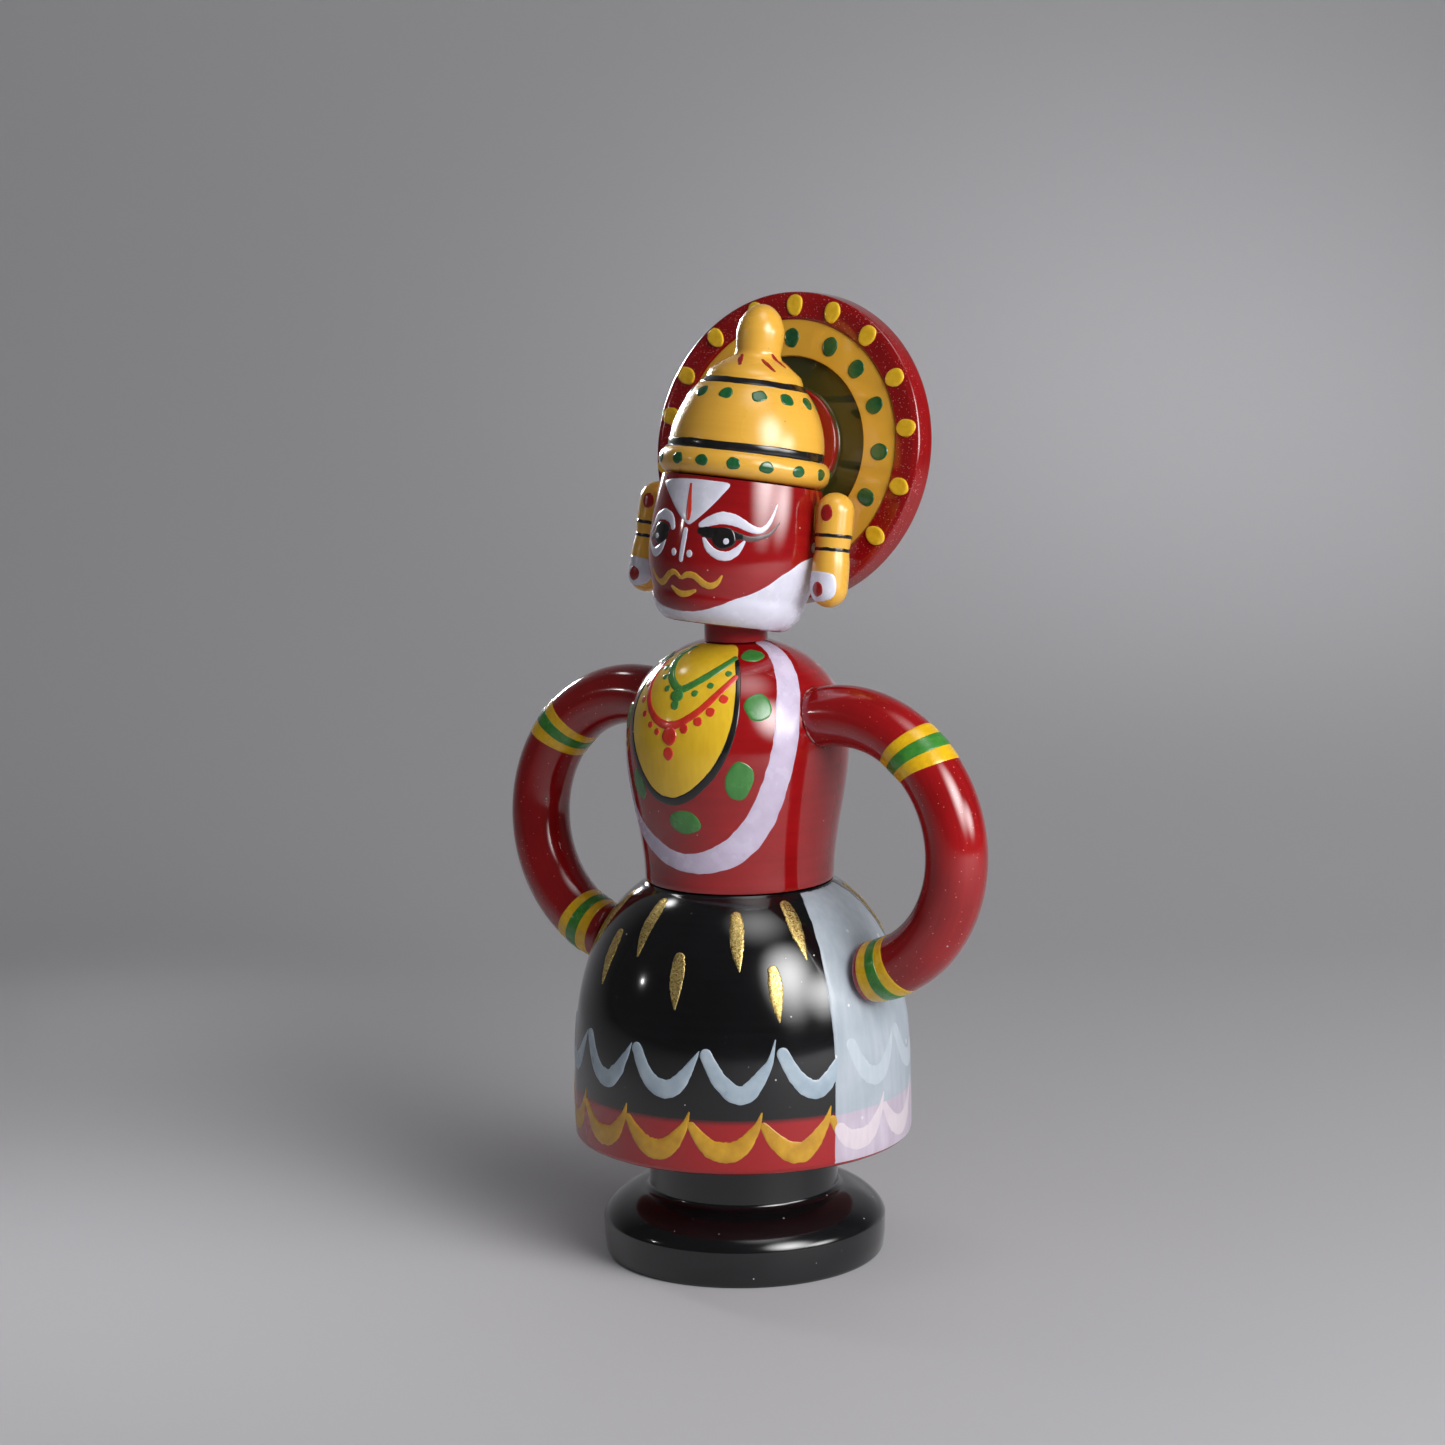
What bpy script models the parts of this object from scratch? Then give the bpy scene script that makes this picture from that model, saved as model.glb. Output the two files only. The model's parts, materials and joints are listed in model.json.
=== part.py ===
"""Lathe-turned wooden dancer doll with a nodding head: plinth, skirt, torso, two ring arms,
and a head on a hidden neck spring that carries a crown, a halo disc and two ear ornaments.

Units are metres, +Z is up, the doll faces -Y and its left side is +X.
The origin is the centre of the plinth's underside.
"""

import math

import bmesh
import bpy
from mathutils import Euler, Matrix, Quaternion, Vector

MM = 0.001

# Fits
FIT_GAP = 0.3 * MM             # between pieces that touch or are glued face to face
PIN_CLEARANCE = 0.3 * MM       # round a dowel in its hole
HOLE_SPARE = 1.0 * MM          # past the end of a dowel, for the glue

# Plinth
BASE_RADIUS = 32.7 * MM
BASE_FOOT_INSET = 0.5 * MM
BASE_WALL_HEIGHT = 8.2 * MM
BASE_HEIGHT = 14.9 * MM
STEM_RADIUS = 21.8 * MM
STEM_LENGTH = 12.8 * MM
STEM_FILLET = 1.0 * MM

# Skirt
SKIRT_RADIUS = 38.8 * MM
SKIRT_HEM_HEIGHT = 9.3 * MM
SKIRT_DOME_HEIGHT = 54.2 * MM  # to the point where the dome would close
SKIRT_FULLNESS = 2.68          # exponent of the dome's superellipse
SKIRT_TOP_CUT = 4.2 * MM       # faced off the dome to make the flat seat for the torso
SKIRT_EDGE_RADIUS = 1.6 * MM

# Torso and neck
WAIST_RADIUS = 21.6 * MM
CHEST_RADIUS = 25.4 * MM
CHEST_HEIGHT = 31.4 * MM       # widest point, above the waist
SHOULDER_HEIGHT = 23.8 * MM    # from the widest point to where the shoulders would close
SHOULDER_FULLNESS = 2.2
NECK_RADIUS = 7.2 * MM
NECK_LENGTH = 13.8 * MM        # above the torso
NECK_TENON_RADIUS = 4.5 * MM
NECK_TENON_LENGTH = 12.0 * MM

# Arms: half rings sawn from a turned ring
ARM_TUBE_RADIUS = 6.9 * MM
ARM_RING_RADIUS = 28.9 * MM    # to the middle of the tube
ARM_REACH = 66.6 * MM          # from the doll's middle to the outside of the arm
ARM_CENTRE_RISE = 10.7 * MM    # above the waist
HIP_END_STANDOFF = 1.4 * MM    # from the skirt to the middle of the arm's flat sawn end
ARM_OVERRUN_DEG = 16.0         # waste at the shoulder, coped away against the torso
RIGHT_ARM_TWIST_DEG = 5.0      # the right hand is glued on a little further forward

# Dowels and pins
SPINE_RADIUS = 4.0 * MM
SPINE_IN_BASE = 14.0 * MM
SPINE_IN_TORSO = 22.0 * MM
ARM_PIN_RADIUS = 1.8 * MM
ARM_PIN_DEPTH = 7.0 * MM
EAR_PIN_RADIUS = 1.2 * MM
CROWN_DOWEL_RADIUS = 3.0 * MM
CROWN_DOWEL_IN_CROWN = 9.0 * MM
HALO_PEG_RADIUS = 1.5 * MM
HALO_PEG_DEPTH = 3.2 * MM      # into the halo's boss
HALO_PEG_IN_CROWN = 7.0 * MM

# Head, measured from its underside
HEAD_RADIUS = 19.35 * MM
HEAD_BELLY_HEIGHT = 18.0 * MM
HEAD_HEIGHT = 33.0 * MM
HEAD_CHIN_RADIUS = 17.2 * MM
HEAD_BROW_RADIUS = 18.2 * MM
HEAD_CORNER_RADIUS = 4.4 * MM
HEAD_BORE_RADIUS = 12.0 * MM
HEAD_TOP_WALL = 4.1 * MM       # left above the bore
HEAD_MOUTH_CHAMFER = 1.4 * MM
NAPE_WALL = 2.4 * MM           # left between the bore and the flat sawn behind the head

# Pose of the head on its spring
SPRING_MIDDLE = 7.0 * MM       # height of the bending point above the neck's top
HEAD_DROP = 18.4 * MM          # from the bending point down to the head's underside
TILT_BACK_DEG = 9.47
LEAN_LEFT_DEG = 3.06
TURN_LEFT_DEG = 3.99

# Neck spring and the plug that holds it in the head
SPRING_RADIUS = 4.9 * MM
SPRING_WIRE_RADIUS = 0.5 * MM
SPRING_TURNS = 6
PLUG_HEIGHT = 3.0 * MM
SPIGOT_CLEARANCE = 0.5 * MM    # between spigot and spring
SPIGOT_LENGTH = 2.4 * MM

# Crown, measured from its underside
DOME_RADIUS = 17.6 * MM
DOME_CLOSE_HEIGHT = 20.4 * MM  # from the brim to where the dome would close
DOME_TOP_CUT = 4.4 * MM        # left off the dome for the step to start on
BRIM_OVERHANG = 1.85 * MM
BRIM_HEIGHT = 6.5 * MM
CAP_STEP_HEIGHT = 6.3 * MM
FINIAL_RADIUS = 5.4 * MM
FINIAL_WAIST_RADIUS = 5.1 * MM
FINIAL_HEIGHT = 11.2 * MM

# Halo disc, measured along its own axis from the nape flat
HALO_THICKNESS = 6.3 * MM
HALO_CENTRE_HEIGHT = 42.7 * MM # above the head's underside
HALO_BOSS_RADIUS = 14.0 * MM
HALO_GROOVE_WIDTH = 6.8 * MM
HALO_GROOVE_DEPTH = 2.0 * MM
HALO_RING_WIDTH = 8.4 * MM
HALO_RIM_WIDTH = 6.9 * MM
HALO_RING_SETBACK = 1.0 * MM   # of the yellow ring behind the boss
HALO_RIM_SETBACK = 0.5 * MM
HALO_EDGE_RADIUS = 0.9 * MM
HALO_EDGE_TAPER = 0.6 * MM     # the front edge is this much smaller than the back edge

# Ear ornaments
EAR_RADIUS = 4.2 * MM
EAR_LENGTH = 25.6 * MM
EAR_WAIST_DEPTH = 0.35 * MM
EAR_BACKSET = 2.9 * MM
EAR_SPLAY_DEG = 2.6
EAR_MIDDLE_HEIGHT = 19.5 * MM
EAR_LEVEL_ERROR = 0.8 * MM     # the left ear sits higher than the right by twice this
RIGHT_EAR_STANDOFF = 0.8 * MM  # its pin isn't driven right home

# Facets round a turning
COARSE_FACETS = 32
FINE_FACETS = 40
PIN_FACETS = 14

# Sizes that follow from the ones above
STEM_TOP = BASE_HEIGHT + STEM_LENGTH
SKIRT_BOTTOM = STEM_TOP + FIT_GAP
SKIRT_HEM_TOP = SKIRT_BOTTOM + SKIRT_HEM_HEIGHT
SKIRT_SEAT = SKIRT_HEM_TOP + SKIRT_DOME_HEIGHT - SKIRT_TOP_CUT
WAIST = SKIRT_SEAT + FIT_GAP
CHEST = WAIST + CHEST_HEIGHT
NECK_POINT = 1.0 - (NECK_RADIUS / CHEST_RADIUS) ** SHOULDER_FULLNESS
NECK_BOTTOM = CHEST + SHOULDER_HEIGHT * NECK_POINT ** (1.0 / SHOULDER_FULLNESS)
NECK_TOP = NECK_BOTTOM + FIT_GAP + NECK_LENGTH
BENDING_POINT = Vector((0.0, 0.0, NECK_TOP + SPRING_MIDDLE))
HEAD_POSE = (
    Matrix.Rotation(math.radians(TURN_LEFT_DEG), 4, "Z")
    @ Matrix.Rotation(math.radians(-TILT_BACK_DEG), 4, "X")
    @ Matrix.Rotation(math.radians(LEAN_LEFT_DEG), 4, "Y")
)
HEAD_BORE_DEPTH = HEAD_HEIGHT - HEAD_TOP_WALL
NAPE_FLAT = HEAD_BORE_RADIUS + NAPE_WALL
CROWN_BOTTOM = HEAD_HEIGHT + FIT_GAP
CROWN_DOWEL_IN_HEAD = HEAD_TOP_WALL - HOLE_SPARE - FIT_GAP
BRIM_RADIUS = DOME_RADIUS + BRIM_OVERHANG
HALO_GROOVE_RADIUS = HALO_BOSS_RADIUS + HALO_GROOVE_WIDTH
HALO_RING_RADIUS = HALO_GROOVE_RADIUS + HALO_RING_WIDTH
HALO_RADIUS = HALO_RING_RADIUS + HALO_RIM_WIDTH
SPIGOT_RADIUS = SPRING_RADIUS - SPRING_WIRE_RADIUS - SPIGOT_CLEARANCE


def clear_scene():
    for item in list(bpy.context.scene.objects):
        bpy.data.objects.remove(item, do_unlink=True)


def new_collection(name):
    collection = bpy.data.collections.new(name)
    bpy.context.scene.collection.children.link(collection)
    return collection


def make_material(name, colour, roughness, metallic=0.0):
    material = bpy.data.materials.new(name)
    material.use_nodes = True
    shader = material.node_tree.nodes["Principled BSDF"]
    shader.inputs["Base Color"].default_value = (*colour, 1.0)
    shader.inputs["Roughness"].default_value = roughness
    shader.inputs["Metallic"].default_value = metallic
    return material


RED_LAC = ((0.36, 0.008, 0.012), 0.15)
BLACK_LAC = ((0.006, 0.006, 0.007), 0.12)
YELLOW_LAC = ((0.78, 0.42, 0.05), 0.25)
BARE_WOOD = ((0.62, 0.45, 0.28), 0.65)
SPRING_STEEL = ((0.55, 0.55, 0.56), 0.3, 1.0)


# ---------------------------------------------------------------- shapes

def arc(centre, radius, start_deg, end_deg, steps):
    """Points (r, z) on an arc, both ends included."""
    points = []
    for step in range(steps + 1):
        angle = math.radians(start_deg + (end_deg - start_deg) * step / steps)
        points.append((centre[0] + radius * math.cos(angle), centre[1] + radius * math.sin(angle)))
    return points


def dome_radius(height, radius, full_height, fullness):
    """Radius of a superellipse dome at a height above its widest ring."""
    return radius * max(0.0, 1.0 - (height / full_height) ** fullness) ** (1.0 / fullness)


def turned(name, outline, facets, collection, finish=None):
    """A lathe-turned piece: outline points (r, z) run down the outer side, top to bottom."""
    mesh = bpy.data.meshes.new(name)
    points = [(radius, 0.0, height) for radius, height in outline]
    edges = [(index, index + 1) for index in range(len(points) - 1)]
    mesh.from_pydata(points, edges, [])
    piece = bpy.data.objects.new(name, mesh)
    collection.objects.link(piece)
    screw = piece.modifiers.new("turning", "SCREW")
    screw.axis = "Z"
    screw.angle = math.tau
    screw.steps = facets
    screw.render_steps = facets
    screw.use_merge_vertices = True
    screw.merge_threshold = 0.01 * MM
    screw.use_smooth_shade = True
    if finish is not None:
        mesh.materials.append(make_material(name, *finish))
    return piece


def rod(name, radius, start, end, collection, finish=None):
    """A plain dowel between two points."""
    start, end = Vector(start), Vector(end)
    mesh = bpy.data.meshes.new(name)
    shape = bmesh.new()
    bmesh.ops.create_cone(
        shape, cap_ends=True, segments=PIN_FACETS, radius1=radius, radius2=radius,
        depth=(end - start).length,
    )
    shape.to_mesh(mesh)
    shape.free()
    for face in mesh.polygons:
        face.use_smooth = len(face.vertices) == 4
    piece = bpy.data.objects.new(name, mesh)
    piece.location = (start + end) / 2
    piece.rotation_euler = (end - start).to_track_quat("Z", "Y").to_euler()
    collection.objects.link(piece)
    if finish is not None:
        mesh.materials.append(make_material(name, *finish))
    return piece


def cut(piece, cutter, parent=None):
    """Take the cutter's volume out of the piece."""
    cutter.hide_render = True
    cutter.display_type = "WIRE"
    cutter.parent = parent
    boolean = piece.modifiers.new(cutter.name, "BOOLEAN")
    boolean.operation = "DIFFERENCE"
    boolean.solver = "EXACT"
    boolean.object = cutter


def doweled(name, radius, start, end, hosts, finish, parent=None):
    """A dowel, and its clearance hole in each piece that it joins."""
    start, end = Vector(start), Vector(end)
    direction = (end - start).normalized()
    piece = rod(name, radius, start, end, parts, finish)
    piece.parent = parent
    for number, host in enumerate(hosts):
        hole = rod(
            f"{name}_hole_{number}", radius + PIN_CLEARANCE,
            start - direction * HOLE_SPARE, end + direction * HOLE_SPARE, cutters,
        )
        cut(host, hole, parent)
    return piece


# ---------------------------------------------------------------- plinth, skirt, torso, neck

def base_outline():
    """Flat foot, slightly bulged wall, rounded top, short stem under the skirt."""
    shoulder = BASE_HEIGHT - BASE_WALL_HEIGHT
    points = [(0.0, STEM_TOP), (STEM_RADIUS, STEM_TOP), (STEM_RADIUS, BASE_HEIGHT + STEM_FILLET)]
    points.append((STEM_RADIUS + STEM_FILLET, BASE_HEIGHT))
    rounding = BASE_RADIUS - STEM_RADIUS - STEM_FILLET
    for step in range(1, 8):
        angle = math.radians(90.0 * (1.0 - step / 7.0))
        points.append((
            BASE_RADIUS - rounding * (1.0 - math.cos(angle) ** 1.27),
            BASE_WALL_HEIGHT + shoulder * math.sin(angle) ** 1.27,
        ))
    points.append((BASE_RADIUS - BASE_FOOT_INSET, BASE_FOOT_INSET))
    points.append((BASE_RADIUS - 2 * BASE_FOOT_INSET, 0.0))
    points.append((0.0, 0.0))
    return points


def skirt_radius_at(height):
    """Radius of the skirt's side at a height above the floor."""
    rise = max(0.0, height - SKIRT_HEM_TOP)
    return dome_radius(rise, SKIRT_RADIUS, SKIRT_DOME_HEIGHT, SKIRT_FULLNESS)


def skirt_outline(grow=0.0):
    """Dome over an upright hem; grow gives the same shape a little larger all over."""
    points = [(0.0, SKIRT_SEAT + grow)]
    rings = 10
    for ring in range(rings + 1):
        rise = math.sin(math.radians(90.0 * (1.0 - ring / rings)))
        height = SKIRT_HEM_TOP + (SKIRT_SEAT - SKIRT_HEM_TOP) * rise
        points.append((skirt_radius_at(height) + grow, height + grow))
    edge = SKIRT_EDGE_RADIUS
    points += arc((SKIRT_RADIUS + grow - edge, SKIRT_BOTTOM - grow + edge), edge, 0.0, -90.0, 4)
    points.append((0.0, SKIRT_BOTTOM - grow))
    return points


def torso_radius_at(height):
    """Radius of the torso's side at a height above the floor."""
    if height > CHEST:
        return dome_radius(height - CHEST, CHEST_RADIUS, SHOULDER_HEIGHT, SHOULDER_FULLNESS)
    share = max(0.0, (height - WAIST) / CHEST_HEIGHT)
    ease = share * share * (3.0 - 2.0 * share)
    return WAIST_RADIUS + (CHEST_RADIUS - WAIST_RADIUS) * ease


def torso_outline(grow=0.0):
    """Rounded shoulders over a chest that narrows to the waist."""
    points = [(0.0, NECK_BOTTOM + grow)]
    rings = 9
    top_angle = math.asin(min(1.0, (NECK_BOTTOM - CHEST) / SHOULDER_HEIGHT))
    for ring in range(rings + 1):
        height = CHEST + SHOULDER_HEIGHT * math.sin(top_angle * (1.0 - ring / rings))
        points.append((torso_radius_at(height) + grow, height + grow))
    steps = 6
    for step in range(1, steps + 1):
        height = WAIST + CHEST_HEIGHT * (1.0 - step / steps)
        points.append((torso_radius_at(height) + grow, height))
    points.append((0.0, WAIST))
    return points


def neck_outline():
    """Stub with a spigot for the spring above and a glued tenon below."""
    bottom = NECK_BOTTOM + FIT_GAP
    return [
        (0.0, NECK_TOP + SPIGOT_LENGTH), (SPIGOT_RADIUS, NECK_TOP + SPIGOT_LENGTH),
        (SPIGOT_RADIUS, NECK_TOP), (NECK_RADIUS - 1.0 * MM, NECK_TOP),
        (NECK_RADIUS, NECK_TOP - 1.0 * MM), (NECK_RADIUS, bottom),
        (NECK_TENON_RADIUS, bottom), (NECK_TENON_RADIUS, bottom - NECK_TENON_LENGTH),
        (0.0, bottom - NECK_TENON_LENGTH),
    ]


def build_body():
    base = turned("base_plinth", base_outline(), COARSE_FACETS, parts, BLACK_LAC)
    skirt = turned("skirt", skirt_outline(), FINE_FACETS, parts, BLACK_LAC)
    torso = turned("torso", torso_outline(), FINE_FACETS, parts, RED_LAC)
    turned("neck_stub", neck_outline(), COARSE_FACETS // 2, parts, RED_LAC)
    doweled(
        "spine_dowel", SPINE_RADIUS,
        (0.0, 0.0, STEM_TOP - SPINE_IN_BASE), (0.0, 0.0, WAIST + SPINE_IN_TORSO),
        (base, skirt, torso), BARE_WOOD,
    )
    socket = rod(
        "neck_socket", NECK_TENON_RADIUS + PIN_CLEARANCE,
        (0.0, 0.0, NECK_BOTTOM + FIT_GAP - NECK_TENON_LENGTH - HOLE_SPARE),
        (0.0, 0.0, NECK_BOTTOM + HOLE_SPARE), cutters,
    )
    cut(torso, socket)
    return skirt, torso


# ---------------------------------------------------------------- arms

def arm_point(angle_deg, side):
    """Point on the middle line of an arm."""
    angle = math.radians(angle_deg)
    twist = math.radians(RIGHT_ARM_TWIST_DEG) if side < 0 else 0.0
    centre = ARM_REACH - ARM_TUBE_RADIUS - ARM_RING_RADIUS
    across = centre + ARM_RING_RADIUS * math.cos(angle)
    upright = ARM_RING_RADIUS * math.sin(angle)
    height = WAIST + ARM_CENTRE_RISE
    return Vector((side * across, upright * math.sin(twist), height + upright * math.cos(twist)))


def arm_end_deg(side, way, surface_radius, standoff=0.0):
    """Angle at which an arm's middle line comes within a standoff of a turned surface."""
    for step in range(30, 170 * 4):
        angle = way * step / 4.0
        point = arm_point(angle, side)
        if math.hypot(point.x, point.y) < surface_radius(point.z) + standoff:
            break
    return angle


def arm_ring(name, side, shoulder_deg, hip_deg):
    """Bent tube as a mesh, longer than needed at the shoulder."""
    curve = bpy.data.curves.new(name, "CURVE")
    curve.dimensions = "3D"
    curve.bevel_depth = ARM_TUBE_RADIUS
    curve.bevel_resolution = 6
    curve.use_fill_caps = True
    first = shoulder_deg + ARM_OVERRUN_DEG
    steps = 24
    spline = curve.splines.new("POLY")
    spline.points.add(steps)
    for step, point in enumerate(spline.points):
        point.co = (*arm_point(first + (hip_deg - first) * step / steps, side), 1.0)
    guide = bpy.data.objects.new(name + "_curve", curve)
    parts.objects.link(guide)
    bpy.context.view_layer.update()
    evaluated = guide.evaluated_get(bpy.context.evaluated_depsgraph_get())
    mesh = bpy.data.meshes.new_from_object(evaluated)
    shape = bmesh.new()
    shape.from_mesh(mesh)
    bmesh.ops.remove_doubles(shape, verts=shape.verts, dist=0.01 * MM)
    bmesh.ops.recalc_face_normals(shape, faces=shape.faces)
    shape.to_mesh(mesh)
    shape.free()
    mesh.name = name
    mesh.materials.clear()
    mesh.materials.append(make_material(name, *RED_LAC))
    mesh.shade_smooth()
    mesh.set_sharp_from_angle(angle=math.radians(40.0))
    arm = bpy.data.objects.new(name, mesh)
    arm.matrix_world = guide.matrix_world
    parts.objects.link(arm)
    bpy.data.objects.remove(guide, do_unlink=True)
    return arm


def build_arms(skirt, torso):
    """Each arm is coped to the torso, eased to clear the skirt, and pinned to both."""
    torso_shape = turned("torso_cope", torso_outline(FIT_GAP), FINE_FACETS, cutters)
    skirt_shape = turned("skirt_cope", skirt_outline(FIT_GAP), FINE_FACETS, cutters)
    for side_name, side in (("left", 1.0), ("right", -1.0)):
        shoulder_deg = arm_end_deg(side, 1.0, torso_radius_at)
        hip_deg = arm_end_deg(side, -1.0, skirt_radius_at, HIP_END_STANDOFF)
        arm = arm_ring("arm_" + side_name, side, shoulder_deg, hip_deg)
        cut(arm, torso_shape)
        cut(arm, skirt_shape)
        ends = (("shoulder", shoulder_deg, 1.0, torso), ("hip", hip_deg, -1.0, skirt))
        for end_name, end_deg, way, host in ends:
            joint = arm_point(end_deg, side)
            inward = (arm_point(end_deg + way, side) - joint).normalized()
            doweled(
                f"{end_name}_pin_{side_name}", ARM_PIN_RADIUS,
                joint - inward * ARM_PIN_DEPTH, joint + inward * ARM_PIN_DEPTH,
                (arm, host), BARE_WOOD,
            )


# ---------------------------------------------------------------- head, crown, halo, ears

def head_outline():
    """Flat underside with a rounded corner, a barrel side and a flat top."""
    points = [(0.0, HEAD_HEIGHT)]
    upper = HEAD_HEIGHT - HEAD_BELLY_HEIGHT
    steps = 5
    for step in range(steps + 1):
        rise = 1.0 - step / steps
        points.append((
            HEAD_RADIUS - (HEAD_RADIUS - HEAD_BROW_RADIUS) * rise * rise,
            HEAD_BELLY_HEIGHT + upper * rise,
        ))
    lower = HEAD_BELLY_HEIGHT - HEAD_CORNER_RADIUS
    for step in range(1, steps):
        fall = step / steps
        points.append((
            HEAD_RADIUS - (HEAD_RADIUS - HEAD_CHIN_RADIUS) * fall * fall,
            HEAD_BELLY_HEIGHT - lower * fall,
        ))
    corner = (HEAD_CHIN_RADIUS - HEAD_CORNER_RADIUS, HEAD_CORNER_RADIUS)
    points += arc(corner, HEAD_CORNER_RADIUS, 0.0, -90.0, 5)
    points.append((0.0, 0.0))
    return points


def bore_outline():
    """The deep hole that the neck and the spring stand in, with a chamfered mouth."""
    below = -1.0 * MM
    return [
        (0.0, HEAD_BORE_DEPTH), (HEAD_BORE_RADIUS, HEAD_BORE_DEPTH),
        (HEAD_BORE_RADIUS, HEAD_MOUTH_CHAMFER), (HEAD_BORE_RADIUS + HEAD_MOUTH_CHAMFER, 0.0),
        (HEAD_BORE_RADIUS + HEAD_MOUTH_CHAMFER - below, below), (0.0, below),
    ]


def crown_outline():
    """Rolled brim, domed cap, sloping step and an egg-shaped finial, turned in one piece."""
    dome_height = DOME_CLOSE_HEIGHT - DOME_TOP_CUT
    dome_top = BRIM_HEIGHT + dome_height
    step_top = dome_top + CAP_STEP_HEIGHT
    dome_end = dome_radius(dome_height, DOME_RADIUS, DOME_CLOSE_HEIGHT, 2.0)
    belly = step_top + FINIAL_HEIGHT * 0.42
    points = []
    for step in range(6):
        angle = math.radians(90.0 * (1.0 - step / 5.0))
        points.append((
            FINIAL_RADIUS * math.cos(angle), belly + FINIAL_HEIGHT * 0.58 * math.sin(angle) ** 1.15,
        ))
    fillet = (dome_end - FINIAL_WAIST_RADIUS) * 0.36
    points += arc((FINIAL_WAIST_RADIUS + fillet, step_top + fillet * 0.2), fillet, 180.0, 250.0, 3)
    points.append((dome_end - 0.6 * MM, dome_top + CAP_STEP_HEIGHT * 0.3))
    steps = 6
    for step in range(steps + 1):
        height = dome_height * (1.0 - step / steps)
        points.append((dome_radius(height, DOME_RADIUS, DOME_CLOSE_HEIGHT, 2.0), BRIM_HEIGHT + height))
    roll = BRIM_HEIGHT / 2
    points += arc((BRIM_RADIUS - roll, roll), roll, 60.0, -75.0, 6)
    points.append((0.0, 0.0))
    return points


def halo_outline():
    """Turned disc, front up: raised boss, sunk groove, flat ring, beaded rim, plain back."""
    front = -FIT_GAP
    ring = front - HALO_RING_SETBACK
    rim = front - HALO_RIM_SETBACK
    back = front - HALO_THICKNESS
    edge = HALO_EDGE_RADIUS
    points = [
        (0.0, front), (HALO_BOSS_RADIUS, front), (HALO_BOSS_RADIUS, front - HALO_GROOVE_DEPTH),
        (HALO_GROOVE_RADIUS, front - HALO_GROOVE_DEPTH), (HALO_GROOVE_RADIUS, ring),
        (HALO_RING_RADIUS, rim - 0.2 * MM), ((HALO_RING_RADIUS + HALO_RADIUS) / 2, rim),
    ]
    front_edge = HALO_RADIUS - HALO_EDGE_TAPER - edge
    points += arc((front_edge, rim - 0.4 * MM - edge), edge, 90.0, 0.0, 3)
    points += arc((HALO_RADIUS - edge, back + edge), edge, 0.0, -90.0, 3)
    points.append((0.0, back))
    return points


def ear_outline():
    """Round-ended rod with a slight waist, about its own middle."""
    half = EAR_LENGTH / 2 - EAR_RADIUS
    points = arc((0.0, half), EAR_RADIUS, 90.0, 0.0, 5)
    points += [
        (EAR_RADIUS, half * 0.3), (EAR_RADIUS - EAR_WAIST_DEPTH, half * 0.1),
        (EAR_RADIUS - EAR_WAIST_DEPTH, -half * 0.1), (EAR_RADIUS, -half * 0.3),
    ]
    points += arc((0.0, -half), EAR_RADIUS, 0.0, -90.0, 5)
    return points


def plug_outline():
    """Wooden plug at the end of the bore; its spigot centres the spring."""
    top = HEAD_BORE_DEPTH - FIT_GAP
    bottom = top - PLUG_HEIGHT
    return [
        (0.0, top), (HEAD_BORE_RADIUS - FIT_GAP, top), (HEAD_BORE_RADIUS - FIT_GAP, bottom),
        (SPIGOT_RADIUS, bottom), (SPIGOT_RADIUS, bottom - SPIGOT_LENGTH),
        (0.0, bottom - SPIGOT_LENGTH),
    ]


def mount_on_head(piece, pivot, location, rotation=(0.0, 0.0, 0.0)):
    """Hang a piece on the head's empty; heights are from the head's underside."""
    piece.parent = pivot
    piece.location = Vector(location) - Vector((0.0, 0.0, HEAD_DROP))
    piece.rotation_euler = Euler(rotation)


def head_dowel(name, radius, start, end, hosts, pivot, finish=BARE_WOOD):
    """A dowel inside the head group; heights are from the head's underside."""
    down = Vector((0.0, 0.0, HEAD_DROP))
    doweled(name, radius, Vector(start) - down, Vector(end) - down, hosts, finish, pivot)


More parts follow.
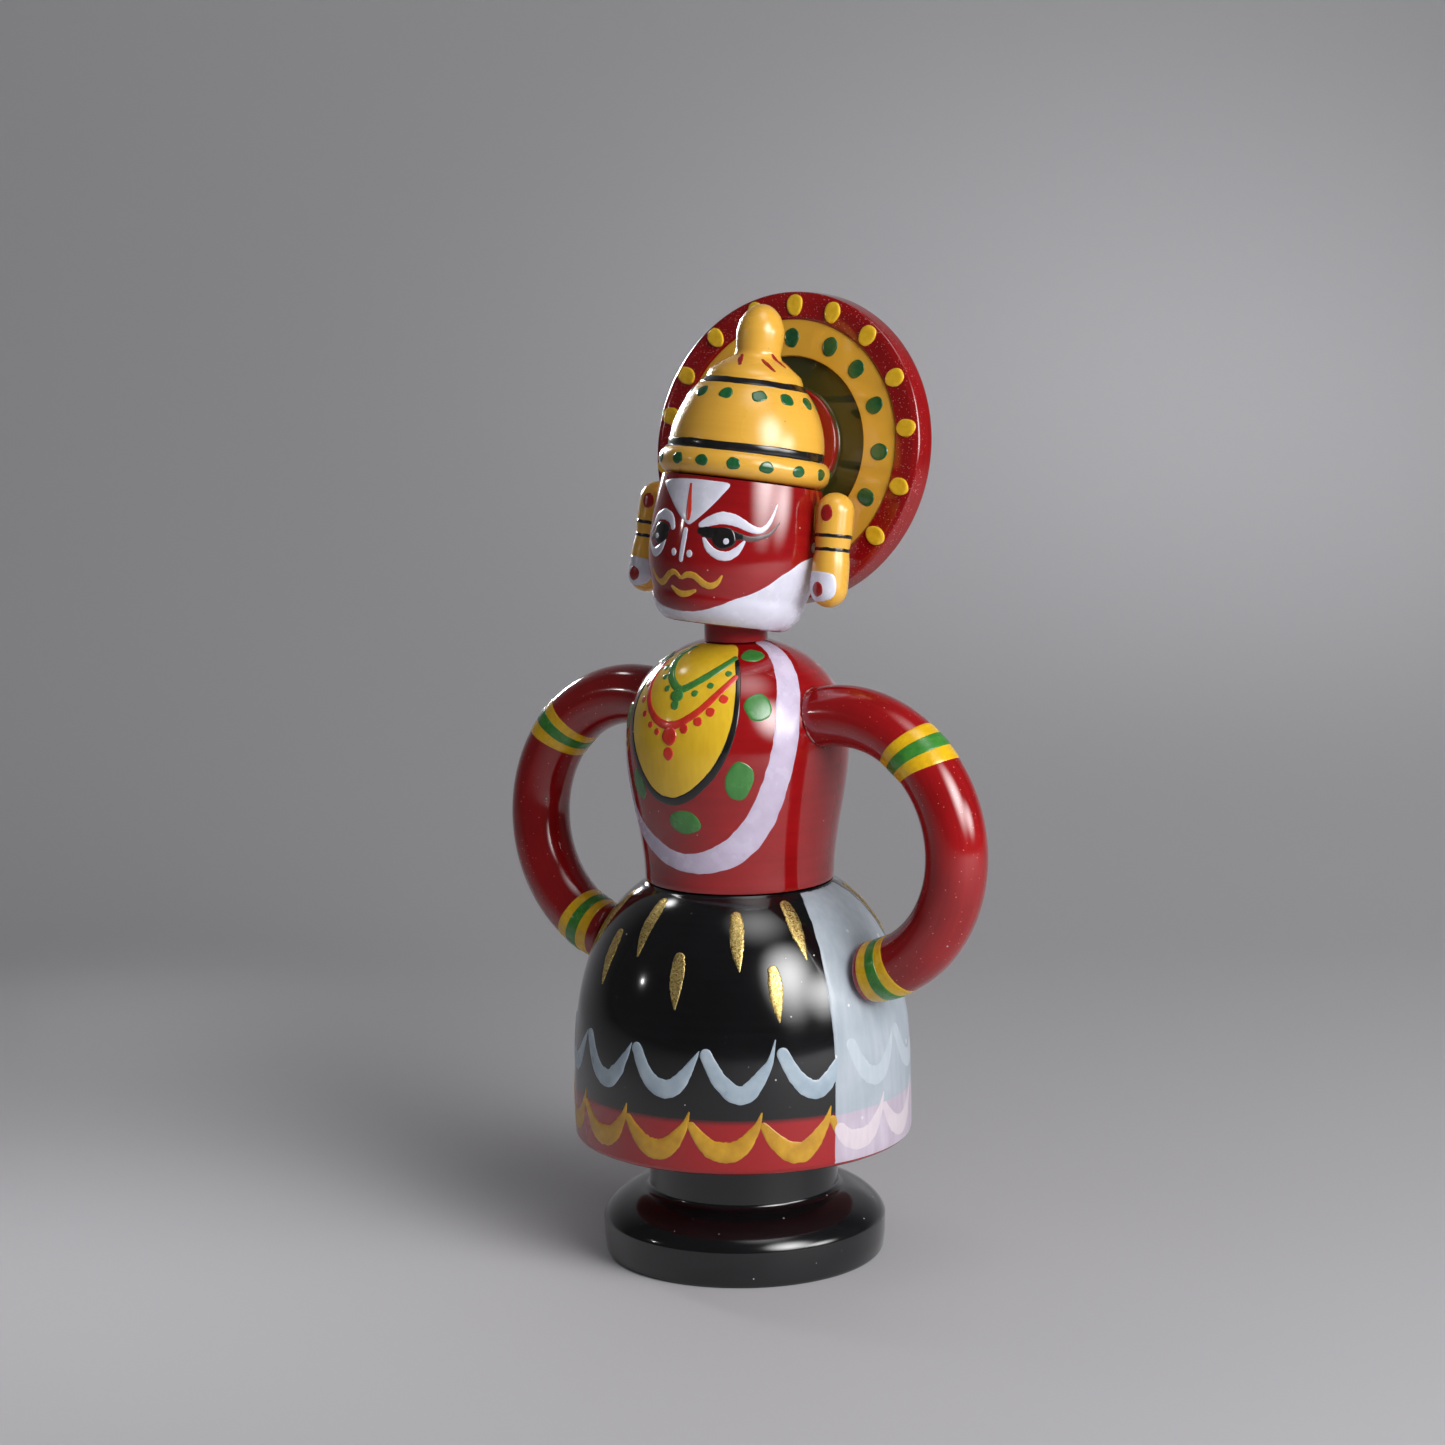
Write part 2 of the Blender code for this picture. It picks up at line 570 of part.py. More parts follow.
def build_head():
    pivot = bpy.data.objects.new("head_pivot", None)
    pivot.matrix_world = Matrix.Translation(BENDING_POINT) @ HEAD_POSE
    parts.objects.link(pivot)

    head = turned("head", head_outline(), FINE_FACETS, parts, RED_LAC)
    mount_on_head(head, pivot, (0.0, 0.0, 0.0))
    bore = turned("head_bore", bore_outline(), COARSE_FACETS, cutters)
    cut(head, bore)
    mount_on_head(bore, pivot, (0.0, 0.0, 0.0))

    crown = turned("crown", crown_outline(), COARSE_FACETS, parts, YELLOW_LAC)
    mount_on_head(crown, pivot, (0.0, 0.0, CROWN_BOTTOM))

    waste = 2 * BRIM_RADIUS
    for number, piece in enumerate((head, crown)):
        mesh = bpy.data.meshes.new("nape_saw_cut")
        shape = bmesh.new()
        bmesh.ops.create_cube(shape, size=2 * waste)
        shape.to_mesh(mesh)
        shape.free()
        saw_cut = bpy.data.objects.new(f"nape_saw_cut_{number}", mesh)
        cutters.objects.link(saw_cut)
        cut(piece, saw_cut)
        mount_on_head(saw_cut, pivot, (0.0, NAPE_FLAT + waste, HEAD_HEIGHT))

    halo = turned("halo_disc", halo_outline(), FINE_FACETS, parts, RED_LAC)
    mount_on_head(halo, pivot, (0.0, NAPE_FLAT, HALO_CENTRE_HEIGHT), (math.radians(90.0), 0.0, 0.0))

    head_dowel(
        "crown_dowel", CROWN_DOWEL_RADIUS,
        (0.0, 0.0, HEAD_HEIGHT - CROWN_DOWEL_IN_HEAD),
        (0.0, 0.0, CROWN_BOTTOM + CROWN_DOWEL_IN_CROWN), (head, crown), pivot,
    )
    head_dowel(
        "halo_peg", HALO_PEG_RADIUS,
        (0.0, NAPE_FLAT - HALO_PEG_IN_CROWN, HALO_CENTRE_HEIGHT),
        (0.0, NAPE_FLAT + FIT_GAP + HALO_PEG_DEPTH, HALO_CENTRE_HEIGHT), (crown, halo), pivot,
    )
    for side_name, side in (("left", 1.0), ("right", -1.0)):
        build_ear(side_name, side, head, pivot)

    plug = turned("spring_plug", plug_outline(), COARSE_FACETS // 2, parts, BARE_WOOD)
    mount_on_head(plug, pivot, (0.0, 0.0, 0.0))
    build_spring()


def build_ear(side_name, side, head, pivot):
    """A turned rod pinned to the side of the head, a little splayed."""
    ear = turned("ear_" + side_name, ear_outline(), COARSE_FACETS // 2, parts, YELLOW_LAC)
    height = EAR_MIDDLE_HEIGHT + side * EAR_LEVEL_ERROR
    splay = math.radians(EAR_SPLAY_DEG)
    standoff = RIGHT_EAR_STANDOFF if side < 0 else 0.0
    reach = HEAD_RADIUS + EAR_RADIUS + FIT_GAP + standoff + EAR_LENGTH / 4 * math.sin(splay)
    across = side * math.sqrt(reach * reach - EAR_BACKSET * EAR_BACKSET)
    mount_on_head(ear, pivot, (across, EAR_BACKSET, height), (0.0, -side * splay, 0.0))
    inner = side * (HEAD_BORE_RADIUS + 2 * FIT_GAP + HOLE_SPARE)
    head_dowel(
        "ear_pin_" + side_name, EAR_PIN_RADIUS,
        (inner, EAR_BACKSET, height), (across, EAR_BACKSET, height), (head, ear), pivot,
    )


def build_spring():
    """Coil from the neck's top to the plug, bent evenly by the head's tilt."""
    plug_face = HEAD_BORE_DEPTH - FIT_GAP - PLUG_HEIGHT - HEAD_DROP
    lift = FIT_GAP + SPRING_WIRE_RADIUS
    foot = Vector((0.0, 0.0, NECK_TOP + lift))
    tip = BENDING_POINT + HEAD_POSE.to_3x3() @ Vector((0.0, 0.0, plug_face - lift))
    turned_back = HEAD_POSE.to_quaternion()
    points_per_turn = 12
    count = SPRING_TURNS * points_per_turn
    curve = bpy.data.curves.new("neck_spring", "CURVE")
    curve.dimensions = "3D"
    curve.bevel_depth = SPRING_WIRE_RADIUS
    curve.bevel_resolution = 1
    curve.use_fill_caps = True
    curve.materials.append(make_material("neck_spring", *SPRING_STEEL))
    spline = curve.splines.new("POLY")
    spline.points.add(count)
    for step, point in enumerate(spline.points):
        share = step / count
        middle = foot.lerp(BENDING_POINT, share).lerp(BENDING_POINT.lerp(tip, share), share)
        facing = Quaternion().slerp(turned_back, share)
        angle = math.tau * step / points_per_turn
        arm = Vector((SPRING_RADIUS * math.cos(angle), SPRING_RADIUS * math.sin(angle), 0.0))
        point.co = (*(middle + facing @ arm), 1.0)
    spring = bpy.data.objects.new("neck_spring", curve)
    parts.objects.link(spring)


clear_scene()
parts = new_collection("turned_dancer_doll")
cutters = new_collection("cutters")
skirt_piece, torso_piece = build_body()
build_arms(skirt_piece, torso_piece)
build_head()
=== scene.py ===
# A lathe-turned wooden dancer doll in coloured lac, painted by hand, with a head that nods on a spring.
# The sections follow the doll as it is put together, from the plinth up. Units are metres, +Z is up,
# and the doll faces -Y with its left side at +X. Degrees round a piece count from its front to its left.
import json
import math

import bmesh
import bpy
from mathutils import Matrix, Quaternion, Vector, noise


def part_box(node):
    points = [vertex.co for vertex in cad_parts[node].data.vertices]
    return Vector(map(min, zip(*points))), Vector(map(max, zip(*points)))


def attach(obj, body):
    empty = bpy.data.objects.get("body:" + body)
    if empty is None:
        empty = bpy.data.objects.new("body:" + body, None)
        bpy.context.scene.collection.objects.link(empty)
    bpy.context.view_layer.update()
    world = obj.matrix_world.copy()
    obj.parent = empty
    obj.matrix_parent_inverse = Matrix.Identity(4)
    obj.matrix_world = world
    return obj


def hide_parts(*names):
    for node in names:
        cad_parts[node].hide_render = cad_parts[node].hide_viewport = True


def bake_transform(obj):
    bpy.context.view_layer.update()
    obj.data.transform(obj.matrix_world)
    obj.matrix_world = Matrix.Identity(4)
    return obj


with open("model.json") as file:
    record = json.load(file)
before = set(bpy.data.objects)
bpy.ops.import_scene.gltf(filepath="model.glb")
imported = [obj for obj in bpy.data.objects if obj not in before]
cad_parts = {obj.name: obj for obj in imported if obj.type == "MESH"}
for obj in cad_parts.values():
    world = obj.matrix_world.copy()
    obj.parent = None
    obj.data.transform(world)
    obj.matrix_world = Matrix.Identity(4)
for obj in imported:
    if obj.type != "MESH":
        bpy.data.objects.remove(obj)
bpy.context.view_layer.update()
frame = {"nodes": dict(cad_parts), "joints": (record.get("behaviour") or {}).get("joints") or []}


# ---- Plinth ------------------------------------------------------------------------------------
# A black foot with a stem that goes up under the skirt, turned from one billet. The lac stick is held
# against the spinning wood, so its colour lies in fine rings. Dust has settled on the upper face.

MM = 0.001
LATHE_FACETS = 224
FIT = 0.3 * MM               # the gap between glued or fitted pieces


def soften(corners, steps=7):
    """An outline with rounded corners; each corner is (radius, height, rounding)."""
    points = [Vector(corners[0][:2])]
    for before, corner, after in zip(corners, corners[1:], corners[2:]):
        here = Vector(corner[:2])
        back = (Vector(before[:2]) - here).normalized()
        onward = (Vector(after[:2]) - here).normalized()
        half = back.angle(onward) / 2
        if corner[2] == 0.0 or half > math.radians(89.5):
            points.append(here)
            continue
        reach = corner[2] / math.tan(half)
        centre = here + (back + onward).normalized() * corner[2] / math.sin(half)
        first, last = here + back * reach - centre, here + onward * reach - centre
        for step in range(steps + 1):
            points.append(centre + first.lerp(last, step / steps).normalized() * corner[2])
    points.append(Vector(corners[-1][:2]))
    return points


def arc(middle, radius, start, stop, steps):
    """Points of a round stretch, between two angles in degrees above straight out."""
    angles = [math.radians(start + (stop - start) * step / steps) for step in range(steps + 1)]
    return [(middle[0] + radius * math.cos(angle), middle[1] + radius * math.sin(angle)) for angle in angles]


def finish_piece(name, shape, place, material, body, sharp=38.0):
    """Makes a piece of a bmesh, shaded smooth but for its crisp edges, and ties it to its body."""
    bmesh.ops.remove_doubles(shape, verts=shape.verts, dist=0.0005 * MM)
    bmesh.ops.recalc_face_normals(shape, faces=shape.faces)
    mesh = bpy.data.meshes.new(name)
    shape.to_mesh(mesh)
    shape.free()
    mesh.shade_smooth()
    mesh.set_sharp_from_angle(angle=math.radians(sharp))
    for finish in material if isinstance(material, tuple) else (material,):
        mesh.materials.append(finish)
    piece = bpy.data.objects.new(name, mesh)
    bpy.context.scene.collection.objects.link(piece)
    piece.matrix_world = place
    if body:
        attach(piece, body)
    return piece


def turned(outline, facets=LATHE_FACETS):
    """A bmesh spun round Z from outline points (radius, height)."""
    shape = bmesh.new()
    points = [shape.verts.new((0.0, -radius, height)) for radius, height in outline]
    edges = [shape.edges.new(pair) for pair in zip(points, points[1:])]
    bmesh.ops.spin(
        shape, geom=points + edges, cent=(0, 0, 0), axis=(0, 0, 1),
        angle=math.tau, steps=facets, use_merge=True,
    )
    return shape


def new_group(name, inputs, outputs):
    """A shader node group with float inputs (name, default) and named outputs."""
    group = bpy.data.node_groups.new(name, "ShaderNodeTree")
    for label, default in inputs:
        socket = group.interface.new_socket(label, in_out="INPUT", socket_type="NodeSocketFloat")
        socket.default_value = default
    for label in outputs:
        group.interface.new_socket(label, in_out="OUTPUT", socket_type="NodeSocketFloat")
    return group, group.nodes.new("NodeGroupInput"), group.nodes.new("NodeGroupOutput")


def node(tree, kind, values=None, **settings):
    """A node with its settings, its plain socket values, and links from other nodes' outputs."""
    made = tree.nodes.new(kind)
    for label, value in settings.items():
        setattr(made, label, value)
    for key, value in (values or {}).items():
        if isinstance(value, bpy.types.NodeSocket):
            tree.links.new(value, made.inputs[key])
        else:
            made.inputs[key].default_value = value
    return made


def math_node(tree, operation, *values, clamp=False):
    """The output of a Math node."""
    made = node(tree, "ShaderNodeMath", dict(enumerate(values)), operation=operation, use_clamp=clamp)
    return made.outputs[0]


def spread(tree, value, low, high, start=0.0, stop=1.0):
    """What runs from start to stop, spread from low to high and held there beyond it."""
    made = node(
        tree, "ShaderNodeMapRange",
        {"Value": value, "From Min": start, "From Max": stop, "To Min": low, "To Max": high},
    )
    return made.outputs[0]


def object_place(tree):
    """Each point's own place on its piece, in metres."""
    return node(tree, "ShaderNodeTexCoord").outputs["Object"]


def height_up(tree, place):
    """How far up the piece's axis a point is."""
    return node(tree, "ShaderNodeSeparateXYZ", {0: place}).outputs["Z"]


def distance_out(tree, place):
    """How far from the piece's axis a point is."""
    flat = node(tree, "ShaderNodeVectorMath", {0: place, 1: (1.0, 1.0, 0.0)}, operation="MULTIPLY")
    return node(tree, "ShaderNodeVectorMath", {0: flat.outputs[0]}, operation="LENGTH").outputs["Value"]


def cloudy(tree, place, scale, detail=2.0):
    """A soft random tone that changes over a piece; scale counts its clouds in a metre."""
    return node(tree, "ShaderNodeTexNoise", {"Vector": place, "Scale": scale, "Detail": detail}).outputs[0]


def give(group, result, **values):
    """Links a node group's outputs, by name."""
    for label, value in values.items():
        group.links.new(value, result.inputs[label])


def make_turning_marks():
    """Rings left by tool and lac stick: they run round a piece, on its side and on its faces."""
    group, given, result = new_group(
        "turning_marks", [("Rings", 900.0), ("Depth", 0.000004)], ["Tone", "Height"],
    )
    place = object_place(group)
    along = math_node(group, "SUBTRACT", height_up(group, place), distance_out(group, place))
    rings = node(
        group, "ShaderNodeTexNoise", {"W": along, "Scale": given.outputs["Rings"], "Detail": 3.0},
        noise_dimensions="1D",
    ).outputs[0]
    give(group, result, Tone=rings, Height=math_node(group, "MULTIPLY", rings, given.outputs["Depth"]))
    return group


def make_flow():
    """The slow unevenness of a lac or paint film: ripples in its surface and clouds in its colour."""
    group, given, result = new_group(
        "film_flow", [("Ripples", 260.0), ("Depth", 0.00001), ("Clouds", 70.0)], ["Cloud", "Height"],
    )
    place = object_place(group)
    ripple = cloudy(group, place, given.outputs["Ripples"], 1.0)
    cloud = cloudy(group, place, given.outputs["Clouds"], 4.0)
    give(group, result, Cloud=cloud, Height=math_node(group, "MULTIPLY", ripple, given.outputs["Depth"]))
    return group


def make_specks():
    """Dust and tiny bubbles caught in the film: scattered dots of mixed size."""
    group, given, result = new_group(
        "caught_dust", [("Per Metre", 420.0), ("Share", 0.06), ("Size", 0.22), ("Height", 0.00002)],
        ["Mask", "Height"],
    )
    cells = node(
        group, "ShaderNodeTexVoronoi", {"Vector": object_place(group), "Scale": given.outputs["Per Metre"]},
    )
    pick = node(group, "ShaderNodeSeparateColor", {0: cells.outputs["Color"]})
    lowest = math_node(group, "SUBTRACT", 1.0, given.outputs["Share"])
    chosen = math_node(group, "GREATER_THAN", pick.outputs["Red"], lowest)
    reach = math_node(group, "MULTIPLY", given.outputs["Size"], pick.outputs["Green"])
    dome = math_node(group, "DIVIDE", cells.outputs["Distance"], reach)
    dome = math_node(group, "SUBTRACT", 1.0, dome, clamp=True)
    dot = math_node(group, "MULTIPLY", dome, chosen)
    mask = math_node(group, "MULTIPLY", dot, 3.0, clamp=True)
    give(group, result, Mask=mask, Height=math_node(group, "MULTIPLY", dot, given.outputs["Height"]))
    return group


TURNING_MARKS = make_turning_marks()
FILM_FLOW = make_flow()
CAUGHT_DUST = make_specks()


def use_group(tree, group, **values):
    """A node group placed in a material, with its inputs by name (underscores for spaces)."""
    placed = node(tree, "ShaderNodeGroup", node_tree=group)
    for label, value in values.items():
        placed.inputs[label.replace("_", " ")].default_value = value
    return placed


def mix(tree, share, first, second):
    """The colour between two colours."""
    mixed = node(tree, "ShaderNodeMix", {0: share, 6: first, 7: second}, data_type="RGBA")
    return mixed.outputs[2]


def blank_material(name, **values):
    """A material's node tree and its Principled shader, with the shader's own constants set."""
    material = bpy.data.materials.new(name)
    material.use_nodes = True
    shader = material.node_tree.nodes["Principled BSDF"]
    for label, value in values.items():
        shader.inputs[label.replace("_", " ")].default_value = value
    return material, material.node_tree, shader


def bump(tree, shader, *heights):
    """Feeds the sum of some heights, in metres, into the shader's normal."""
    total = heights[0]
    for height in heights[1:]:
        total = math_node(tree, "ADD", total, height)
    made = node(tree, "ShaderNodeBump", {"Height": total, "Distance": 1.0, "Strength": 1.0})
    tree.links.new(made.outputs[0], shader.inputs["Normal"])


def lac(name, deep, bright, gloss=0.1, dust=0.05, dust_colour=(0.5, 0.5, 0.5, 1.0), banded=None,
        ripple=0.00001, rings=0.000003):
    """Shellac lac polished on the lathe: pigment in fine rings under a hard gloss, with caught dust.

    banded(tree, colour) may put other colours of lac over the first one.
    """
    material, tree, shader = blank_material(name, Coat_Weight=0.5, Coat_Roughness=0.06, Coat_IOR=1.5)
    marks = use_group(tree, TURNING_MARKS, Rings=620.0, Depth=rings)
    flow = use_group(tree, FILM_FLOW, Ripples=210.0, Depth=ripple, Clouds=55.0)
    specks = use_group(tree, CAUGHT_DUST, Per_Metre=900.0, Share=dust, Size=0.22, Height=0.00002)
    ringed = math_node(tree, "MULTIPLY", marks.outputs["Tone"], 0.35)
    share = spread(tree, math_node(tree, "ADD", ringed, flow.outputs["Cloud"]), 0.0, 1.0, 0.4, 0.95)
    colour = mix(tree, share, (*deep, 1.0), (*bright, 1.0))
    if banded:
        colour = banded(tree, colour)
    colour = mix(tree, specks.outputs["Mask"], colour, dust_colour)
    tree.links.new(colour, shader.inputs["Base Color"])
    rough = spread(tree, flow.outputs["Cloud"], gloss * 0.6, gloss * 1.6)
    rough = math_node(tree, "ADD", rough, math_node(tree, "MULTIPLY", specks.outputs["Mask"], 0.4))
    tree.links.new(rough, shader.inputs["Roughness"])
    bump(tree, shader, *[part.outputs["Height"] for part in (marks, flow, specks)])
    return material


BLACK_LAC = lac("black_lac", (0.002, 0.002, 0.0022), (0.006, 0.006, 0.007), gloss=0.13, dust=0.05)

plinth_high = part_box("base_plinth")[1]
PLINTH_RADIUS = plinth_high.x
PLINTH_TOP = 14.9 * MM
PLINTH_WALL = 8.2 * MM
PLINTH_FULLNESS = 1.27
STEM_RADIUS = 21.8 * MM


def plinth_outline():
    """Slightly bulged wall, broad rounded shoulder, and a stem with a small cove at its foot."""
    cove = 1.5 * MM
    points = [(0.0, plinth_high.z), (STEM_RADIUS - 0.4 * MM, plinth_high.z)]
    points.append((STEM_RADIUS, plinth_high.z - 0.4 * MM))
    points += arc((STEM_RADIUS + cove, PLINTH_TOP + cove), cove, 180.0, 270.0, 8)
    rounding = PLINTH_RADIUS - STEM_RADIUS - cove
    for step in range(1, 25):
        angle = math.radians(90.0 * (1.0 - step / 24))
        points.append((
            PLINTH_RADIUS - rounding * (1.0 - math.cos(angle) ** PLINTH_FULLNESS),
            PLINTH_WALL + (PLINTH_TOP - PLINTH_WALL) * math.sin(angle) ** PLINTH_FULLNESS,
        ))
    points += [(PLINTH_RADIUS - 0.1 * MM, PLINTH_WALL / 2), (PLINTH_RADIUS - 0.5 * MM, 0.9 * MM)]
    points += [(PLINTH_RADIUS - 0.7 * MM, 0.4 * MM), (PLINTH_RADIUS - 1.1 * MM, 0.0), (0.0, 0.0)]
    return points


plinth = finish_piece(
    "plinth", turned(plinth_outline()), Matrix(), BLACK_LAC, "root",
)
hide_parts("base_plinth")


# ---- Skirt -------------------------------------------------------------------------------------
# The widest turning: a black dome with a band of red lac left at its hem, standing on the plinth's stem.
# Scallops and flecks of gold are brushed on freehand, then a thin pale panel is laid over each side.

class PaintedSide:
    """The skin of a turned piece. A spot on it is (degrees, along); the profile gives (radius, height)."""

    def __init__(self, profile, facing=1.0):
        self.profile = profile
        self.facing = facing

    def slope(self, along):
        step = 0.05 * MM
        upper, lower = self.profile(along + step), self.profile(along - step)
        return Vector((upper[0] - lower[0], upper[1] - lower[1])) / (2 * step)

    def at(self, spot, lift):
        angle = math.radians(spot[0])
        radius, height = self.profile(spot[1])
        run = self.slope(spot[1]).normalized() * self.facing
        radius += run.y * lift
        height -= run.x * lift
        return Vector((radius * math.sin(angle), -radius * math.cos(angle), height))

    def move(self, spot, across, along):
        radius = max(self.profile(spot[1])[0], MM)
        turn = math.degrees(across / radius)
        return Vector((spot[0] + turn, spot[1] + along / self.slope(spot[1]).length))

    def direction(self, before, after):
        middle = (before + after) / 2
        radius = self.profile(middle[1])[0]
        across = math.radians(after[0] - before[0]) * radius
        return Vector((across, (after[1] - before[1]) * self.slope(middle[1]).length)).normalized()


def smooth(points, steps=8, closed=False):
    """A flowing curve through a few points of any number of values."""
    points = [Vector(point) for point in points]
    count = len(points)
    curve = []
    for index in range(count if closed else count - 1):
        around = range(index - 1, index + 3)
        before, here, after, beyond = (
            points[place % count if closed else min(max(place, 0), count - 1)] for place in around
        )
        for step in range(steps):
            share = step / steps
            curve.append(0.5 * (
                2 * here + (after - before) * share
                + (2 * before - 5 * here + 4 * after - beyond) * share ** 2
                + (3 * here - before - 3 * after + beyond) * share ** 3
            ))
    if not closed:
        curve.append(points[-1])
    return curve


PAINT_SUNK = 0.12 * MM       # how far a paint skin's hidden underside goes into the lac


def lay_skin(shape, side, rows, ring=False, open_start=False):
    """Adds a closed skin of paint; each row holds (spot, lift), and a ring joins last row to first."""
    tops = [[shape.verts.new(side.at(spot, lift)) for spot, lift in row] for row in rows]
    unders = [[shape.verts.new(side.at(spot, -PAINT_SUNK)) for spot, _ in row] for row in rows]
    following = range(len(rows)) if ring else range(len(rows) - 1)
    for index in following:
        after = (index + 1) % len(rows)
        for grid in (tops, unders):
            for corner in range(len(rows[0]) - 1):
                shape.faces.new((
                    grid[index][corner], grid[index][corner + 1],
                    grid[after][corner + 1], grid[after][corner],
                ))
        for edge in ((-1,) if open_start else (0, -1)):
            shape.faces.new((
                tops[index][edge], tops[after][edge], unders[after][edge], unders[index][edge],
            ))
    if not ring:
        for end in (0, -1):
            for corner in range(len(rows[0]) - 1):
                shape.faces.new((
                    tops[end][corner], tops[end][corner + 1], unders[end][corner + 1], unders[end][corner],
                ))


BRUSH_SECTION = ((-1.0, -0.02), (-0.9, 0.6), (-0.7, 0.95), (-0.3, 1.0), (0.3, 1.0), (0.7, 0.95),
                 (0.9, 0.6), (1.0, -0.02))


def stroke(shape, side, spots, thickness=0.13, base=0.0, blunt=(True, True), ragged=0.05, steps=8):
    """A ribbon of paint along spots (degrees, mm along the piece, mm wide), thick in the middle."""
    path = [Vector((spot[0], spot[1] * MM, spot[2] * MM)) for spot in smooth(spots, steps)]
    seed = spots[0][0] * 0.37 + spots[0][1] * 0.11
    marks = []
    for index, spot in enumerate(path):
        before, after = path[max(index - 1, 0)], path[min(index + 1, len(path) - 1)]
        marks.append((spot.xy, side.direction(before.xy, after.xy), spot.z / 2))
    for end, way in ((0, -1.0), (-1, 1.0)):
        if not blunt[end]:
            continue
        spot, run, half = marks[end]
        cap = []
        for angle in (22.0, 42.0, 60.0, 75.0, 86.0):
            reach = way * half * math.sin(math.radians(angle))
            moved = side.move(spot, run.x * reach, run.y * reach)
            cap.append((moved, run, half * math.cos(math.radians(angle))))
        marks = marks + cap if way > 0 else cap[::-1] + marks
    rows = []
    for index, (spot, run, half) in enumerate(marks):
        row = []
        for share, rise in BRUSH_SECTION:
            shake = noise.noise(Vector((index * 0.35, math.copysign(3.0, share), seed)))
            offset = share * half * (1.0 + ragged * 2.0 * shake)
            row.append((
                side.move(spot, -run.y * offset, run.x * offset),
                (base + thickness * rise * min(1.0, 0.35 + half / MM)) * MM,
            ))
        rows.append(row)
    lay_skin(shape, side, rows)


def patch(shape, side, rim, centre, thickness=0.1, base=0.0, rings=12):
    """A filled shape of paint: rim spots (degrees, metres along) all round a centre spot."""
    shares = [ring / rings for ring in range(rings)] + [1.0 - 0.35 / rings, 1.0]
    middle = Vector(centre)
    rows = []
    for spot in rim:
        row = []
        for share in shares:
            rise = 1.0 if share < 0.9 else (0.75 if share < 0.999 else -0.02)
            row.append((middle.lerp(spot, share), (base + thickness * rise) * MM))
        rows.append(row)
    lay_skin(shape, side, rows, ring=True, open_start=True)


def dab(shape, side, spot, wide, tall, thickness=0.14, base=0.0, turn=0.0, ragged=0.07, rings=5):
    """One touch of the brush: an oval spot of paint at (degrees, mm along)."""
    middle = Vector((spot[0], spot[1] * MM))
    seed = spot[0] * 0.21 + spot[1] * 0.57
    rim = []
    for step in range(28):
        angle = math.tau * step / 28
        shake = 1.0 + ragged * 2.0 * noise.noise(Vector((math.cos(angle), math.sin(angle), seed)))
        across = wide / 2 * MM * math.cos(angle) * shake
        along = tall / 2 * MM * math.sin(angle) * shake
        lean = math.radians(turn)
        rim.append(side.move(
            middle, across * math.cos(lean) - along * math.sin(lean),
            across * math.sin(lean) + along * math.cos(lean),
        ))
    patch(shape, side, rim, middle, thickness, base, rings)


def make_brush_marks():
    """Hair lines that the brush leaves in a paint film, drawn out along the chosen axes."""
    group, given, result = new_group(
        "brush_marks",
        [("Across X", 900.0), ("Across Y", 900.0), ("Across Z", 120.0), ("Depth", 0.00002)],
        ["Tone", "Height"],
    )
    stretch = node(group, "ShaderNodeCombineXYZ", {axis: given.outputs["Across " + axis] for axis in "XYZ"})
    drawn = node(
        group, "ShaderNodeVectorMath", {0: object_place(group), 1: stretch.outputs[0]}, operation="MULTIPLY",
    )
    hairs = cloudy(group, drawn.outputs[0], 1.0, 3.0)
    give(group, result, Tone=hairs, Height=math_node(group, "MULTIPLY", hairs, given.outputs["Depth"]))
    return group


BRUSH_MARKS = make_brush_marks()


def paint(name, thin, thick, gloss=0.28, hair=(900.0, 900.0, 140.0), depth=0.00002, coat=0.25):
    """Brushed enamel: a little streaky, so that its colour runs from thin to thick, with brush hairs."""
    material, tree, shader = blank_material(name, Coat_Weight=coat, Coat_Roughness=0.08, Coat_IOR=1.5)
    hairs = use_group(
        tree, BRUSH_MARKS, Across_X=hair[0], Across_Y=hair[1], Across_Z=hair[2], Depth=depth,
    )
    flow = use_group(tree, FILM_FLOW, Ripples=420.0, Depth=0.000016, Clouds=230.0)
    specks = use_group(tree, CAUGHT_DUST, Per_Metre=900.0, Share=0.03, Size=0.25, Height=0.00004)
    share = math_node(tree, "ADD", hairs.outputs["Tone"], flow.outputs["Cloud"])
    share = spread(tree, share, 0.0, 1.0, 0.6, 1.3)
    colour = mix(tree, share, (*thin, 1.0), (*thick, 1.0))
    tree.links.new(colour, shader.inputs["Base Color"])
    rough = spread(tree, flow.outputs["Cloud"], gloss * 0.7, gloss * 1.4)
    tree.links.new(rough, shader.inputs["Roughness"])
    bump(tree, shader, *[part.outputs["Height"] for part in (hairs, flow, specks)])
    return material


skirt_low, skirt_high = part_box("skirt")
SKIRT_FACETS = 288
SKIRT_RADIUS = skirt_high.x
SKIRT_HEM = skirt_low.z + 9.3 * MM
SKIRT_DOME = 54.2 * MM
SKIRT_FULLNESS = 2.68
RED_HEM_TOP = 40.3 * MM


def dome(rise, radius, full_rise, fullness):
    """Radius of a superellipse dome at a rise above its widest ring."""
    return radius * max(0.0, 1.0 - max(0.0, rise / full_rise) ** fullness) ** (1.0 / fullness)


def skirt_profile(height):
    return dome(height - SKIRT_HEM, SKIRT_RADIUS, SKIRT_DOME, SKIRT_FULLNESS), height


